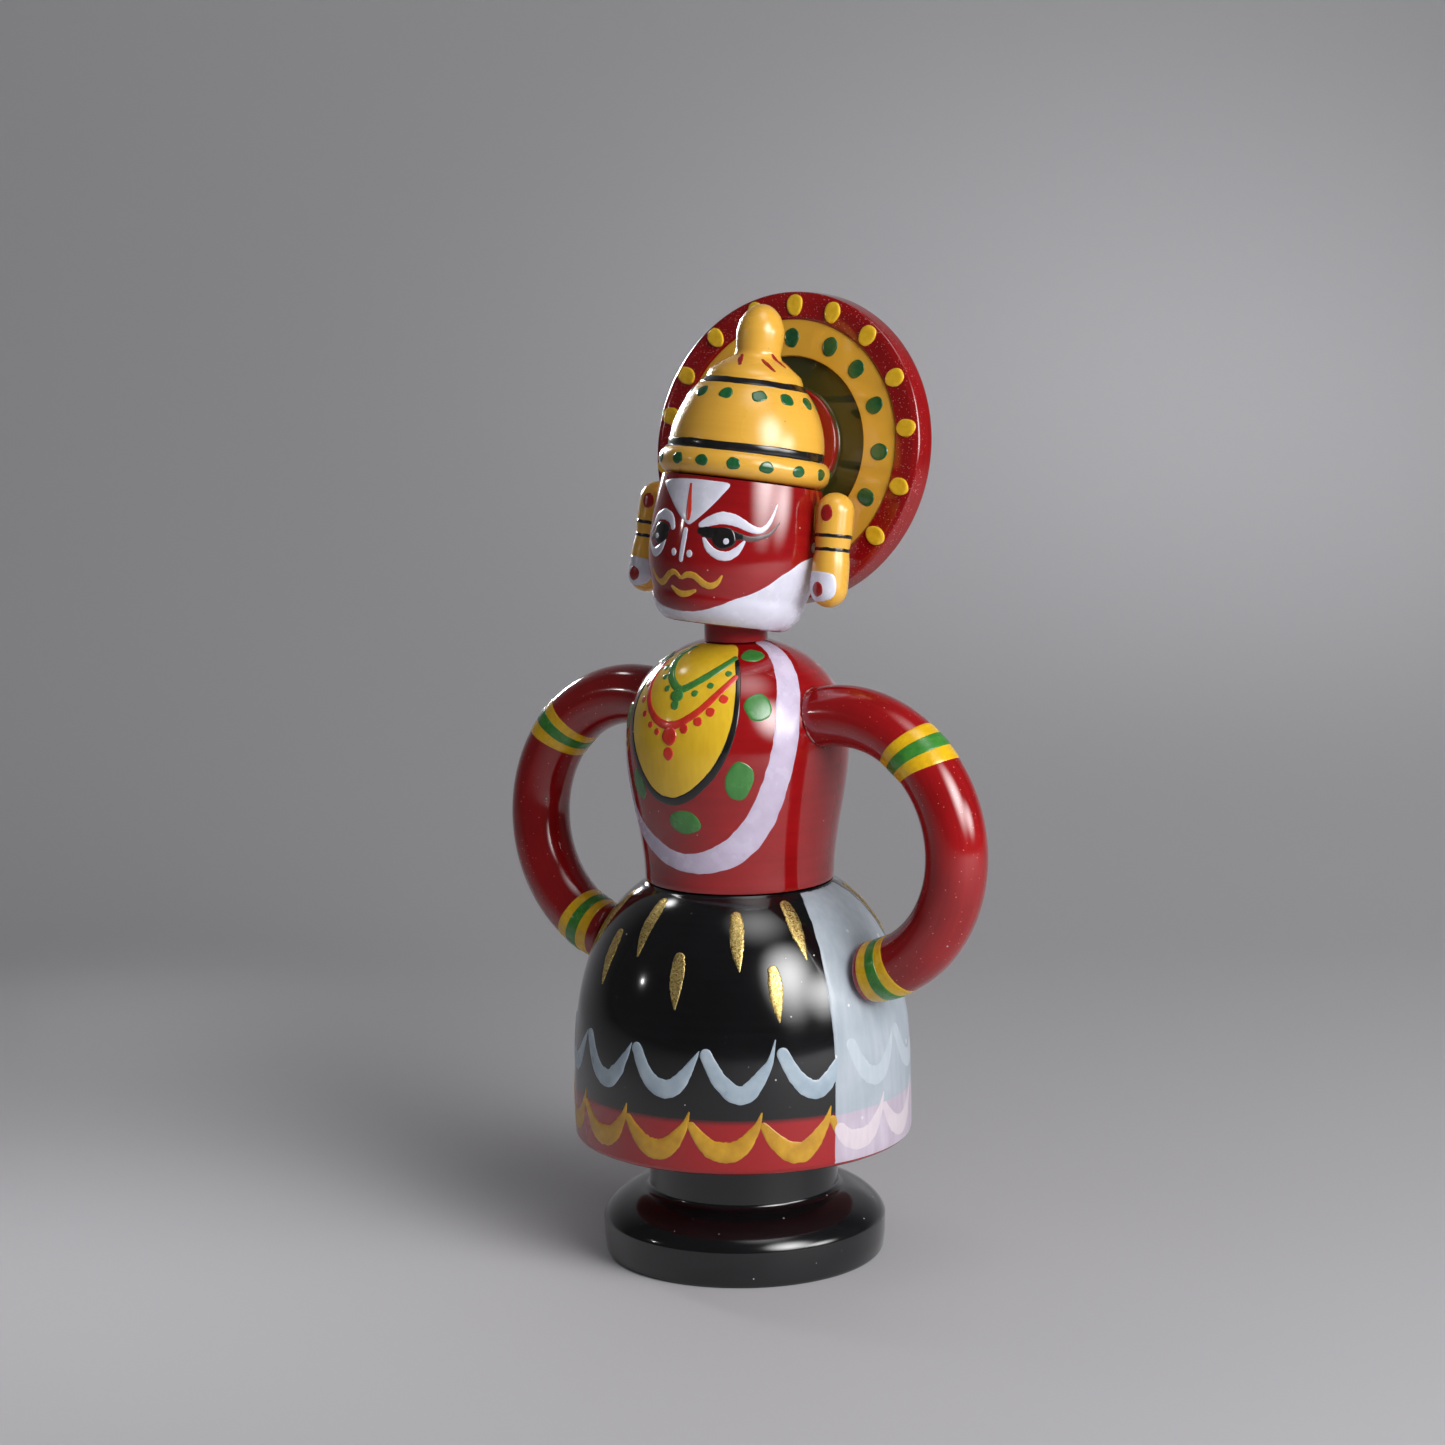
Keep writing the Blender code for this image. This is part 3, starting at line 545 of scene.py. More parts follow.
def skirt_outline():
    """Seat for the torso, dome, upright hem and a rounded lower edge."""
    seat_edge = 0.5 * MM
    top = skirt_profile(skirt_high.z - seat_edge)
    points = [(0.0, skirt_high.z), (top[0] - seat_edge, skirt_high.z)]
    for step in range(45):
        share = math.sin(math.radians(90.0 * (1.0 - step / 44)))
        points.append(skirt_profile(SKIRT_HEM + (skirt_high.z - seat_edge - SKIRT_HEM) * share))
    edge = 1.6 * MM
    points += arc((SKIRT_RADIUS - edge, skirt_low.z + edge), edge, 0.0, -90.0, 8)
    points.append((0.0, skirt_low.z))
    return points


def below_height(tree, height, wander=0.0004, blur=0.0001):
    """A mask of what lies below a height on a turned piece, with an edge that wanders a little."""
    place = object_place(tree)
    shift = math_node(tree, "MULTIPLY", cloudy(tree, place, 90.0), wander)
    level = math_node(tree, "ADD", height_up(tree, place), shift)
    return spread(tree, level, 1.0, 0.0, height - blur, height + blur)


def red_hem(tree, colour):
    return mix(tree, below_height(tree, RED_HEM_TOP, blur=0.0007), colour, (0.34, 0.006, 0.008, 1.0))


SKIRT_LAC = lac(
    "skirt_lac", (0.002, 0.002, 0.0022), (0.006, 0.006, 0.007), gloss=0.12, dust=0.03, banded=red_hem,
)
skirt = finish_piece(
    "skirt_dome", turned(skirt_outline(), SKIRT_FACETS), Matrix(), SKIRT_LAC, "root",
)
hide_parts("skirt")
skirt_side = PaintedSide(skirt_profile)

# Blue-white scallops: pressed down at the left, swung through a low belly, flicked up to the right.
SCALLOPS = 14


def scallop_spots(count):
    start = -26.0 + 360.0 / SCALLOPS * count
    tip = (56.2, 56.0, 58.4, 56.6)[count % 4]
    belly = (47.1, 47.2, 46.6, 46.8)[count % 4]
    return [
        (start, 55.2, 2.8), (start + 3.0, 51.2, 3.3), (start + 6.0, 48.5, 3.8), (start + 9.5, belly, 4.2),
        (start + 13.2, belly, 4.1), (start + 16.6, 48.9, 3.5), (start + 19.2, 51.3, 2.5),
        (start + 21.4, 53.7, 1.4), (start + 23.4, tip, 0.25),
    ]


scallops = bmesh.new()
for count in range(SCALLOPS):
    stroke(scallops, skirt_side, scallop_spots(count), blunt=(True, False))
SCALLOP_BLUE = paint(
    "scallop_blue", (0.27, 0.35, 0.43), (0.42, 0.5, 0.57), gloss=0.3, hair=(300.0, 300.0, 300.0),
)
finish_piece("skirt_scallops", scallops, Matrix(), SCALLOP_BLUE, "root")

# Ochre scallops along the red hem; their flicked tips run over onto the black.
HEM_SCALLOPS = 15


def hem_spots(count):
    start = -28.5 + 360.0 / HEM_SCALLOPS * count
    sag = (0.4, 0.0, 0.3, -0.3)[count % 4]
    return [
        (start + 0.8, 39.2, 1.9), (start + 3.6, 36.6, 3.1), (start + 7.0, 34.3, 4.1),
        (start + 10.6, 33.2 + sag, 4.7), (start + 14.4, 33.3 + sag, 4.6), (start + 17.8, 34.9, 3.8),
        (start + 20.6, 37.2, 2.7), (start + 22.8, 39.6, 1.5), (start + 24.2, 42.4, 0.3),
    ]


hem_scallops = bmesh.new()
for count in range(HEM_SCALLOPS):
    stroke(hem_scallops, skirt_side, hem_spots(count), blunt=(True, False))
HEM_OCHRE = paint(
    "hem_ochre", (0.42, 0.2, 0.012), (0.66, 0.36, 0.025), gloss=0.3, hair=(350.0, 350.0, 350.0),
)
finish_piece("hem_scallops", hem_scallops, Matrix(), HEM_OCHRE, "root")


def gold_paint():
    """Bronze powder in clear lacquer: each flake lies at its own angle and flashes on its own."""
    material, tree, shader = blank_material("gold_paint", Metallic=1.0)
    flakes = node(tree, "ShaderNodeTexVoronoi", {"Vector": object_place(tree), "Scale": 4200.0})
    pick = node(tree, "ShaderNodeSeparateColor", {0: flakes.outputs["Color"]})
    colour = mix(tree, pick.outputs["Red"], (0.42, 0.28, 0.07, 1.0), (0.85, 0.66, 0.27, 1.0))
    tree.links.new(colour, shader.inputs["Base Color"])
    tree.links.new(spread(tree, pick.outputs["Green"], 0.22, 0.6), shader.inputs["Roughness"])
    bump(tree, shader, math_node(tree, "MULTIPLY", pick.outputs["Blue"], 0.00006))
    return material


# Gold flecks fall in two staggered rows, laid blunt end up and drawn out downwards.
GOLD_PAINT = gold_paint()
flecks = bmesh.new()
front_flecks = [(-24, 73.3), (-8, 80.8), (13, 70.9), (36, 79.3), (50, 68.4), (63, 80.9), (-44, 80.2)]
back_flecks = [(128 + 18 * count, 80.5 if count % 2 == 0 else 71.5) for count in range(7)]
for degrees, height in front_flecks + back_flecks:
    side_lean = 0.5 if height > 75.0 else 0.3
    stroke(flecks, skirt_side, [
        (degrees - side_lean, height + 4.4, 2.6), (degrees, height + 2.0, 3.3),
        (degrees, height - 0.8, 3.1), (degrees + side_lean, height - 3.6, 2.0),
        (degrees + 2 * side_lean, height - 6.4, 0.3),
    ], thickness=0.16, blunt=(True, False), ragged=0.06, steps=14)
finish_piece("gold_flecks", flecks, Matrix(), GOLD_PAINT, "root")


def thin_wash():
    """A pale wash that hides less of what is under it where it ran thin: streaky from top to bottom."""
    material, tree, shader = blank_material("side_panel_wash", Coat_Weight=0.3, Coat_Roughness=0.12)
    hairs = use_group(tree, BRUSH_MARKS, Across_X=500.0, Across_Y=500.0, Across_Z=60.0, Depth=0.00003)
    flow = use_group(tree, FILM_FLOW, Ripples=300.0, Depth=0.00003, Clouds=110.0)
    specks = use_group(tree, CAUGHT_DUST, Per_Metre=330.0, Share=0.14, Size=0.3, Height=0.00008)
    share = math_node(tree, "ADD", hairs.outputs["Tone"], flow.outputs["Cloud"])
    share = spread(tree, share, 0.0, 1.0, 0.6, 1.35)
    colour = mix(tree, share, (0.4, 0.47, 0.54, 1.0), (0.5, 0.55, 0.61, 1.0))
    hem = mix(tree, share, (0.52, 0.43, 0.54, 1.0), (0.64, 0.57, 0.67, 1.0))
    colour = mix(tree, below_height(tree, RED_HEM_TOP), colour, hem)
    colour = mix(tree, specks.outputs["Mask"], colour, (0.8, 0.82, 0.85, 1.0))
    tree.links.new(colour, shader.inputs["Base Color"])
    tree.links.new(spread(tree, share, 0.84, 0.94), shader.inputs["Alpha"])
    tree.links.new(spread(tree, flow.outputs["Cloud"], 0.22, 0.5), shader.inputs["Roughness"])
    bump(tree, shader, *[part.outputs["Height"] for part in (hairs, flow, specks)])
    return material


# The panels widen downwards from the waist and end at the hem's rounded edge.
PANEL_FRONT = (
    (76.0, 87.0), (72.5, 83.2), (70.5, 74.3), (70.0, 65.0), (70.0, 55.0), (69.5, 44.4), (69.0, 29.0),
)
PANEL_BACK = (
    (114.0, 87.0), (118.0, 81.4), (121.0, 73.2), (122.0, 65.0), (122.0, 55.0), (122.5, 44.4), (123.0, 29.0),
)
WASH_THICKNESS = 0.18
SIDES = (("left", 1.0), ("right", -1.0))
WASH = thin_wash()
for side_name, way in SIDES:
    panel = bmesh.new()
    rows = []
    shares = [0.0, 0.008, 0.02] + [step / 22 for step in range(1, 22)] + [0.98, 0.992, 1.0]
    fronts, backs = smooth(PANEL_FRONT, 9), smooth(PANEL_BACK, 9)
    for index, (front, back) in enumerate(zip(fronts, backs)):
        row = []
        for share in shares:
            shake = noise.noise(Vector((index * 0.4, 5.0 + round(share), way))) * 0.35
            degrees = way * (front.x + (back.x - front.x) * share + shake)
            ragged_top = noise.noise(Vector((share * 25.0, 2.0, way))) * 0.4 if index == 0 else 0.0
            rim = share in (0.0, 1.0) or index in (0, len(fronts) - 1)
            lift = -0.01 if rim else (WASH_THICKNESS if 0.01 < share < 0.99 else 0.12)
            row.append((Vector((degrees, (front.y + ragged_top) * MM)), lift * MM))
        rows.append(row)
    lay_skin(panel, skirt_side, rows)
    finish_piece("side_panel_" + side_name, panel, Matrix(), WASH, "root")

# The scallops underneath grin through the wash as paler strokes.
SCALLOP_GHOST = paint("scallop_ghost", (0.43, 0.5, 0.56), (0.52, 0.57, 0.63), gloss=0.35)
HEM_GHOST = paint("hem_ghost", (0.62, 0.53, 0.6), (0.7, 0.62, 0.66), gloss=0.35)
for name, spots, ghost_paint in (
    ("scallop_ghosts", scallop_spots, SCALLOP_GHOST), ("hem_ghosts", hem_spots, HEM_GHOST),
):
    ghosts = bmesh.new()
    for count in range(HEM_SCALLOPS):
        inside = [spot for spot in spots(count) if 71.0 < abs((spot[0] + 180.0) % 360.0 - 180.0) < 120.0]
        if len(inside) > 2:
            stroke(ghosts, skirt_side, inside, thickness=0.03, base=WASH_THICKNESS)
    finish_piece(name, ghosts, Matrix(), ghost_paint, "root")


# ---- Torso and neck ----------------------------------------------------------------------------
# Two turnings in red lac: a barrel with round shoulders on the skirt's seat, and a stub glued into it.
# Bib, necklaces and garland are brushed on in layers, each a little proud of the one beneath.

RED_DEEP = (0.23, 0.003, 0.004)
RED_BRIGHT = (0.36, 0.007, 0.009)
PINK_DUST = (0.6, 0.3, 0.28, 1.0)
RED_LAC = lac("red_lac", RED_DEEP, RED_BRIGHT, gloss=0.1, dust=0.02, dust_colour=PINK_DUST)

torso_low, torso_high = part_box("torso")
WAIST_RADIUS = 21.6 * MM
CHEST_RADIUS = 25.4 * MM
CHEST = torso_low.z + 31.4 * MM
SHOULDER_RISE = 23.8 * MM
SHOULDER_FULLNESS = 2.2


def torso_profile(along):
    """Radius and height; above the chest, along is measured round the shoulder's curve."""
    if along < CHEST:
        share = max(0.0, (along - torso_low.z) / (CHEST - torso_low.z))
        ease = share * share * (3.0 - 2.0 * share)
        return WAIST_RADIUS + (CHEST_RADIUS - WAIST_RADIUS) * ease, along
    rise = SHOULDER_RISE * math.sin(min(1.5, (along - CHEST) / SHOULDER_RISE))
    return dome(rise, CHEST_RADIUS, SHOULDER_RISE, SHOULDER_FULLNESS), CHEST + rise


SHOULDER_END = CHEST + SHOULDER_RISE * math.asin((torso_high.z - CHEST) / SHOULDER_RISE)
torso_points = [(0.0, torso_high.z)]
for step in range(70):
    torso_points.append(torso_profile(SHOULDER_END + (torso_low.z + 0.5 * MM - SHOULDER_END) * step / 69))
torso_points += [
    (WAIST_RADIUS - 0.1 * MM, torso_low.z + 0.15 * MM), (WAIST_RADIUS - 0.5 * MM, torso_low.z),
    (0.0, torso_low.z),
]
torso = finish_piece("torso_barrel", turned(torso_points), Matrix(), RED_LAC, "root")
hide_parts("torso")
torso_side = PaintedSide(torso_profile)

neck_low, neck_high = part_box("neck_stub")
NECK_FACETS = 128
NECK_RADIUS = 7.2 * MM
TENON_RADIUS = 4.5 * MM      # of the neck's lower end, glued into the torso
SPIGOT_RADIUS = 3.9 * MM     # of the short stubs that the coil's ends fit over
SPIGOT_LENGTH = 2.4 * MM
NECK_TOP = neck_high.z - SPIGOT_LENGTH
neck = finish_piece("neck", turned(soften([
    (0.0, neck_high.z, 0), (SPIGOT_RADIUS, neck_high.z, 0.4 * MM), (SPIGOT_RADIUS, NECK_TOP, 0),
    (NECK_RADIUS, NECK_TOP, 1.0 * MM), (NECK_RADIUS, torso_high.z + FIT, 0),
    (TENON_RADIUS, torso_high.z + FIT, 0), (TENON_RADIUS, neck_low.z, 0.4 * MM), (0.0, neck_low.z, 0),
]), NECK_FACETS), Matrix(), RED_LAC, "root")
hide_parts("neck_stub")

BIB_EDGE = [
    (0, 108.7), (9, 109.8), (17, 112.2), (24, 115.3), (30, 119.4), (34.5, 124.2), (37, 129.0),
    (38.5, 136.0), (38.5, 143.0), (38, 149.6), (14, 150.2), (-14, 150.2), (-38, 149.6), (-39, 143.0),
    (-38, 136.0), (-35.5, 129.0), (-32, 123.6), (-27, 118.2), (-20, 113.4), (-11, 109.8),
]
bib = bmesh.new()
bib_rim = [Vector((spot.x, spot.y * MM)) for spot in smooth(BIB_EDGE, 5, closed=True)]
patch(bib, torso_side, bib_rim, (0.0, 128.0 * MM), thickness=0.1, rings=22)
BIB_YELLOW = paint(
    "bib_yellow", (0.74, 0.44, 0.02), (0.84, 0.54, 0.03), gloss=0.16, depth=0.000006, coat=0.5,
)
finish_piece("bib", bib, Matrix(), BIB_YELLOW, "root")

bib_line = bmesh.new()
outline_spots = BIB_EDGE[-7:] + BIB_EDGE[:9]
stroke(bib_line, torso_side, [
    (degrees, height, 1.1 + 0.8 * math.sin(math.pi * min(1.0, index / 14.0)))
    for index, (degrees, height) in enumerate(outline_spots)
], thickness=0.1, base=0.1)
BLACK_PAINT = paint("black_paint", (0.004, 0.004, 0.004), (0.014, 0.012, 0.012), gloss=0.2, coat=0.5)
finish_piece("bib_outline", bib_line, Matrix(), BLACK_PAINT, "root")

LEAF_GREEN = paint("leaf_green", (0.03, 0.16, 0.03), (0.06, 0.24, 0.05), gloss=0.24, coat=0.4)
green = bmesh.new()
stroke(green, torso_side, [
    (-25, 147.5, 1.4), (-25, 144.5, 1.7), (-18.5, 140.6, 1.8), (-9, 136.8, 1.8), (1.5, 134.2, 1.9),
], base=0.11)
stroke(green, torso_side, [
    (36.5, 144.2, 1.3), (30, 142.3, 1.6), (20, 139.3, 1.8), (10, 136.3, 1.9), (1.5, 134.2, 2.1),
], base=0.12)
dab(green, torso_side, (0.5, 133.0), 3.5, 3.1, base=0.15)
dab(green, torso_side, (1, 130.7), 2.1, 2.4, base=0.12)
for degrees, height in ((-24, 139.6), (-17, 137.2), (-9, 134.4), (32, 139.2), (21, 135.9), (12, 133.8)):
    dab(green, torso_side, (degrees, height), 1.6, 1.6, base=0.1)
GARLAND_LEAVES = (
    (54, 145.2, 5.6, 4.6, 20), (49, 130.6, 6.0, 6.4, 0), (38, 114.0, 6.3, 8.8, -8), (7, 104.0, 8.0, 5.8, 0),
    (-26, 111.2, 5.2, 7.2, 24), (-44, 126.0, 5.0, 6.2, 6), (-52, 142.0, 4.6, 4.4, 0),
)
for degrees, height, wide, tall, turn in GARLAND_LEAVES:
    dab(green, torso_side, (degrees, height), wide, tall, turn=turn, rings=7, thickness=0.12)
finish_piece("green_beads_and_leaves", green, Matrix(), LEAF_GREEN, "root")

CORAL = paint("coral_red", (0.5, 0.02, 0.012), (0.72, 0.045, 0.025), gloss=0.22, coat=0.4)
red = bmesh.new()
stroke(red, torso_side, [
    (-33, 141.2, 1.0), (-30.5, 137.4, 1.3), (-26.5, 134.0, 1.4), (-18, 129.6, 1.5), (-10, 127.0, 1.8),
    (-3, 126.0, 1.9), (4, 126.2, 1.9), (11, 127.8, 1.7), (19, 130.6, 1.6), (27, 134.2, 1.5),
    (37, 138.2, 1.3),
], base=0.11)
dab(red, torso_side, (0.6, 123.6), 4.0, 4.3, base=0.12, thickness=0.22)
dab(red, torso_side, (0.4, 119.6), 2.7, 3.2, base=0.1)
bead_spots = (
    (-31, 134.5), (-26.5, 130.8), (-20.5, 127.7), (-13.5, 125.5), (-8, 124.2), (9, 125.5), (16.5, 127.2),
    (23, 129.5), (30, 132.6),
)
for degrees, height in bead_spots:
    grow = 1.6 if degrees < 0 else 2.1
    dab(red, torso_side, (degrees, height), grow, grow, base=0.1)
finish_piece("coral_necklace", red, Matrix(), CORAL, "root")

GARLAND = [
    (-88, 147.5, 4.2), (-77, 141.4, 4.6), (-69, 133.2, 5.0), (-63.5, 125.4, 5.0), (-58.5, 117.4, 5.0),
    (-50, 109.0, 4.8), (-37, 101.8, 4.6), (-19, 97.4, 4.5), (0, 94.7, 4.2), (18, 95.0, 5.2),
    (36, 98.2, 6.4), (49, 104.4, 6.6), (56.5, 112.4, 6.2), (61.5, 120.4, 6.0), (66, 129.0, 6.0),
    (73, 137.4, 5.6), (80, 144.0, 4.9), (88, 149.6, 4.2),
]
garland = bmesh.new()
stroke(garland, torso_side, GARLAND, thickness=0.12, ragged=0.035, steps=12)
GARLAND_WHITE = paint(
    "garland_lavender", (0.53, 0.44, 0.6), (0.64, 0.57, 0.72), gloss=0.25, hair=(260.0, 260.0, 260.0),
    coat=0.35,
)
finish_piece("garland", garland, Matrix(), GARLAND_WHITE, "root")


# ---- Arms --------------------------------------------------------------------------------------
# Two half rings sawn from one turned red ring: coped to the torso, eased off the skirt, glued and doweled.
# Yellow and green bands are run round them by hand, and a crust of glue and paint is left at the joints.

ARM_TUBE = 6.9 * MM
ARM_RING = 28.9 * MM
HIP_END = -79.5
RIGHT_ARM_TWIST = -5.0
arm_middle_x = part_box("arm_left")[1].x - ARM_TUBE - ARM_RING
arm_middle_z = torso_low.z + 10.7 * MM


def arm_profile(along):
    """Round the tube: along starts on the ring's outer side and goes to its front face."""
    angle = along / ARM_TUBE
    return ARM_RING + ARM_TUBE * math.cos(angle), ARM_TUBE * math.sin(angle)


def arm_place(way):
    """The ring lies on its side: its own degrees count up from the outermost point to the shoulder."""
    twist = Matrix.Rotation(math.radians(RIGHT_ARM_TWIST if way < 0 else 0.0), 4, "X")
    lying = Matrix(((0, -way, 0, 0), (0, 0, -way, 0), (1, 0, 0, 0), (0, 0, 0, 1)))
    return Matrix.Translation((way * arm_middle_x, 0.0, arm_middle_z)) @ twist @ lying


arm_side = PaintedSide(arm_profile)


def reach_of(place, along, start, stop, radius_at, clearance):
    """Degrees at which one line along the tube meets a turned neighbour, between two limits."""
    for step in range(241):
        degrees = start + (stop - start) * step / 240
        point = place @ arm_side.at((degrees, along), 0.0)
        if math.hypot(point.x, point.y) < radius_at(point.z) + clearance:
            return degrees
    return stop


def torso_radius_at(height):
    if height < CHEST:
        return torso_profile(height)[0]
    return dome(height - CHEST, CHEST_RADIUS, SHOULDER_RISE, SHOULDER_FULLNESS)


ARM_LINES = 72
ARM_ROWS = 90
END_ROUNDING = 0.9 * MM
BAND_SECTION = (
    (-1, -0.02), (-0.96, 0.7), (-0.86, 1), (-0.3, 1), (0.3, 1), (0.86, 1), (0.96, 0.7), (1, -0.02),
)


def arm_shape(place):
    """A bent tube whose every line runs from the hip's sawn face to the cope against the torso."""
    shape = bmesh.new()
    lines = []
    cope = []
    for line in range(ARM_LINES):
        along = math.tau * ARM_TUBE * line / ARM_LINES
        top = reach_of(place, along, 60.0, 130.0, torso_radius_at, 0.06 * MM)
        hip = reach_of(place, along, -55.0, HIP_END, lambda z: skirt_profile(z)[0], 0.15 * MM)
        points = [
            (hip + math.degrees(END_ROUNDING * (1.0 - math.cos(angle)) / ARM_RING),
             END_ROUNDING * (1.0 - math.sin(angle)))
            for angle in (math.radians(15.0 * step) for step in range(6))
        ]
        start = hip + math.degrees(END_ROUNDING / ARM_RING)
        points += [(start + (top - start) * step / ARM_ROWS, 0.0) for step in range(ARM_ROWS + 1)]
        lines.append([shape.verts.new(arm_side.at((degrees, along), -sunk)) for degrees, sunk in points])
        cope.append((top, along))
    for line in range(ARM_LINES):
        near, far = lines[line], lines[(line + 1) % ARM_LINES]
        for row in range(len(near) - 1):
            shape.faces.new((near[row], near[row + 1], far[row + 1], far[row]))
    shape.faces.new([line[0] for line in lines])
    shape.faces.new([line[-1] for line in lines][::-1])
    return shape, cope


def band(shape, centre, wide, skew=0.0, base=0.0, thickness=0.1):
    """A band of paint right round the tube; wide in mm, and skewed by some degrees out and in."""
    half = math.degrees(wide * MM / 2 / ARM_RING)
    rows = []
    for step in range(56):
        turn = math.tau * step / 56
        middle = centre - skew * math.cos(turn)
        shake = 0.25 * noise.noise(Vector((math.cos(turn), math.sin(turn), centre * 0.7 + wide)))
        row = []
        for share, rise in BAND_SECTION:
            row.append((
                Vector((middle + half * share + shake, turn * ARM_TUBE)), (base + thickness * rise) * MM,
            ))
        rows.append(row)
    lay_skin(shape, arm_side, rows, ring=True)


def crust(shape, path, size, seed):
    """A lumpy bead of glue and paint squeezed out along a joint."""
    sides = 8
    rings = []
    for index, (point, out, along) in enumerate(path):
        lump = noise.noise(Vector((index * 0.55, seed, 0.0)))
        fine = noise.noise(Vector((index * 1.9, seed, 4.0)))
        radius = size * max(0.12, 0.55 + 0.8 * lump + 0.35 * fine)
        rings.append([
            shape.verts.new(
                point + out * radius * math.cos(math.tau * side / sides)
                + along * radius * math.sin(math.tau * side / sides)
            )
            for side in range(sides)
        ])
    for near, far in zip(rings, rings[1:] + rings[:1]):
        for side in range(sides):
            shape.faces.new((near[side], near[(side + 1) % sides], far[(side + 1) % sides], far[side]))


def dried_glue():
    """Cloudy wood glue, tinted by the paint that was brushed over it."""
    material, tree, shader = blank_material("dried_glue", Subsurface_Weight=0.2, Subsurface_Scale=0.001)
    flow = use_group(tree, FILM_FLOW, Ripples=900.0, Depth=0.00012, Clouds=420.0)
    share = spread(tree, flow.outputs["Cloud"], 0.0, 1.0, 0.5, 0.66)
    colour = mix(tree, share, (0.16, 0.006, 0.006, 1.0), (0.45, 0.2, 0.19, 1.0))
    tree.links.new(colour, shader.inputs["Base Color"])
    tree.links.new(spread(tree, share, 0.2, 0.5), shader.inputs["Roughness"])
    bump(tree, shader, flow.outputs["Height"])
    return material


def pearl_specks_and_painted_glints(tree, colour):
    """Pearl dust in the ring's lac, its specks painted lighter here and there as painted glints."""
    specks = use_group(tree, CAUGHT_DUST, Per_Metre=2600.0, Share=0.05, Size=0.5, Height=0.0)
    return mix(tree, specks.outputs["Mask"], colour, (0.75, 0.16, 0.14, 1.0))


DRIED_GLUE = dried_glue()
# The arm lac's lighter pearl specks are painted glints.
ARM_LAC = lac("arm_lac", RED_DEEP, RED_BRIGHT, gloss=0.12, dust=0.02, banded=pearl_specks_and_painted_glints, ripple=0.000014)
BAND_YELLOW = paint("band_yellow", (0.66, 0.36, 0.004), (0.86, 0.52, 0.012), gloss=0.25)
BAND_GREEN = paint("band_green", (0.018, 0.15, 0.02), (0.06, 0.27, 0.035), gloss=0.25)
BAND_PLACES = {1.0: ((49.0, 3.0), (-68.4, 0.0)), -1.0: ((42.0, 2.0), (-66.0, 0.0))}
for side_name, way in SIDES:
    place = arm_place(way)
    ring, cope = arm_shape(place)
    arm = finish_piece("arm_ring_" + side_name, ring, place, ARM_LAC, "root")
    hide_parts("arm_" + side_name)
    yellow, stripe = bmesh.new(), bmesh.new()
    for centre, skew in BAND_PLACES[way]:
        band(yellow, centre, 8.3, skew)
        band(stripe, centre + 0.3, 2.9, skew, base=0.1)
    finish_piece("arm_bands_yellow_" + side_name, yellow, place, BAND_YELLOW, "root")
    finish_piece("arm_bands_green_" + side_name, stripe, place, BAND_GREEN, "root")
    path = []
    for degrees, along in cope:
        point = arm_side.at((degrees, along), -0.1 * MM)
        out = (arm_side.at((degrees, along), MM) - point).normalized()
        onward = (arm_side.at((degrees - 1.0, along), -0.1 * MM) - point).normalized()
        path.append((point + onward * 0.2 * MM, out, onward))
    glue = bmesh.new()
    crust(glue, path, 0.5 * MM, way)
    finish_piece("shoulder_glue_" + side_name, glue, place, DRIED_GLUE, "root", sharp=180.0)


# ---- Dowels, neck spring and plug --------------------------------------------------------------
# Plain hardwood dowels join the turnings. A steel coil stands on the neck and holds up the head: its
# upper end fits over a wooden plug at the end of the deep bore, so that the head nods by itself.

def bare_wood():
    """Pale close-grained hardwood, scraped but not finished."""
    material, tree, shader = blank_material("bare_wood", Roughness=0.62)
    drawn = node(
        tree, "ShaderNodeVectorMath", {0: object_place(tree), 1: (900.0, 900.0, 70.0)}, operation="MULTIPLY",
    )
    grain = cloudy(tree, drawn.outputs[0], 1.0, 4.0)
    marks = use_group(tree, TURNING_MARKS, Rings=1500.0, Depth=0.00003)
    colour = mix(tree, grain, (0.42, 0.29, 0.17, 1.0), (0.74, 0.58, 0.4, 1.0))
    tree.links.new(colour, shader.inputs["Base Color"])
    fibres = math_node(tree, "MULTIPLY", grain, 0.00004)
    bump(tree, shader, marks.outputs["Height"], fibres)
    return material


def spring_steel():
    """Drawn wire: bright, with fine scratches along it and a trace of oil."""
    material, tree, shader = blank_material("spring_steel", Metallic=1.0)
    flow = use_group(tree, FILM_FLOW, Ripples=2500.0, Depth=0.000012, Clouds=600.0)
    colour = mix(tree, flow.outputs["Cloud"], (0.3, 0.3, 0.31, 1.0), (0.62, 0.62, 0.63, 1.0))
    tree.links.new(colour, shader.inputs["Base Color"])
    tree.links.new(spread(tree, flow.outputs["Cloud"], 0.15, 0.45), shader.inputs["Roughness"])
    bump(tree, shader, flow.outputs["Height"])
    return material


BARE_WOOD = bare_wood()
dowels = (
    "spine_dowel", "shoulder_pin_left", "shoulder_pin_right", "hip_pin_left", "hip_pin_right",
    "crown_dowel", "halo_peg", "ear_pin_left", "ear_pin_right",
)
for dowel in dowels:
    wood = frame["nodes"][dowel].data
    wood.materials.clear()
    wood.materials.append(BARE_WOOD)

joints = {joint["name"]: joint for joint in frame["joints"]}
head_up = Vector(joints["head_turn"]["axis"]).normalized()
head_back = Vector(joints["head_sway"]["axis"]).normalized()
head_left = head_back.cross(head_up).normalized()
bending_point = Vector(joints["head_turn"]["pos_m"])
UNDERSIDE_DROP = 18.4 * MM   # from the bending point down to the head's underside
underside = bending_point - head_up * UNDERSIDE_DROP
HEAD_PLACE = Matrix.Translation(underside) @ Matrix((head_left, head_back, head_up)).transposed().to_4x4()

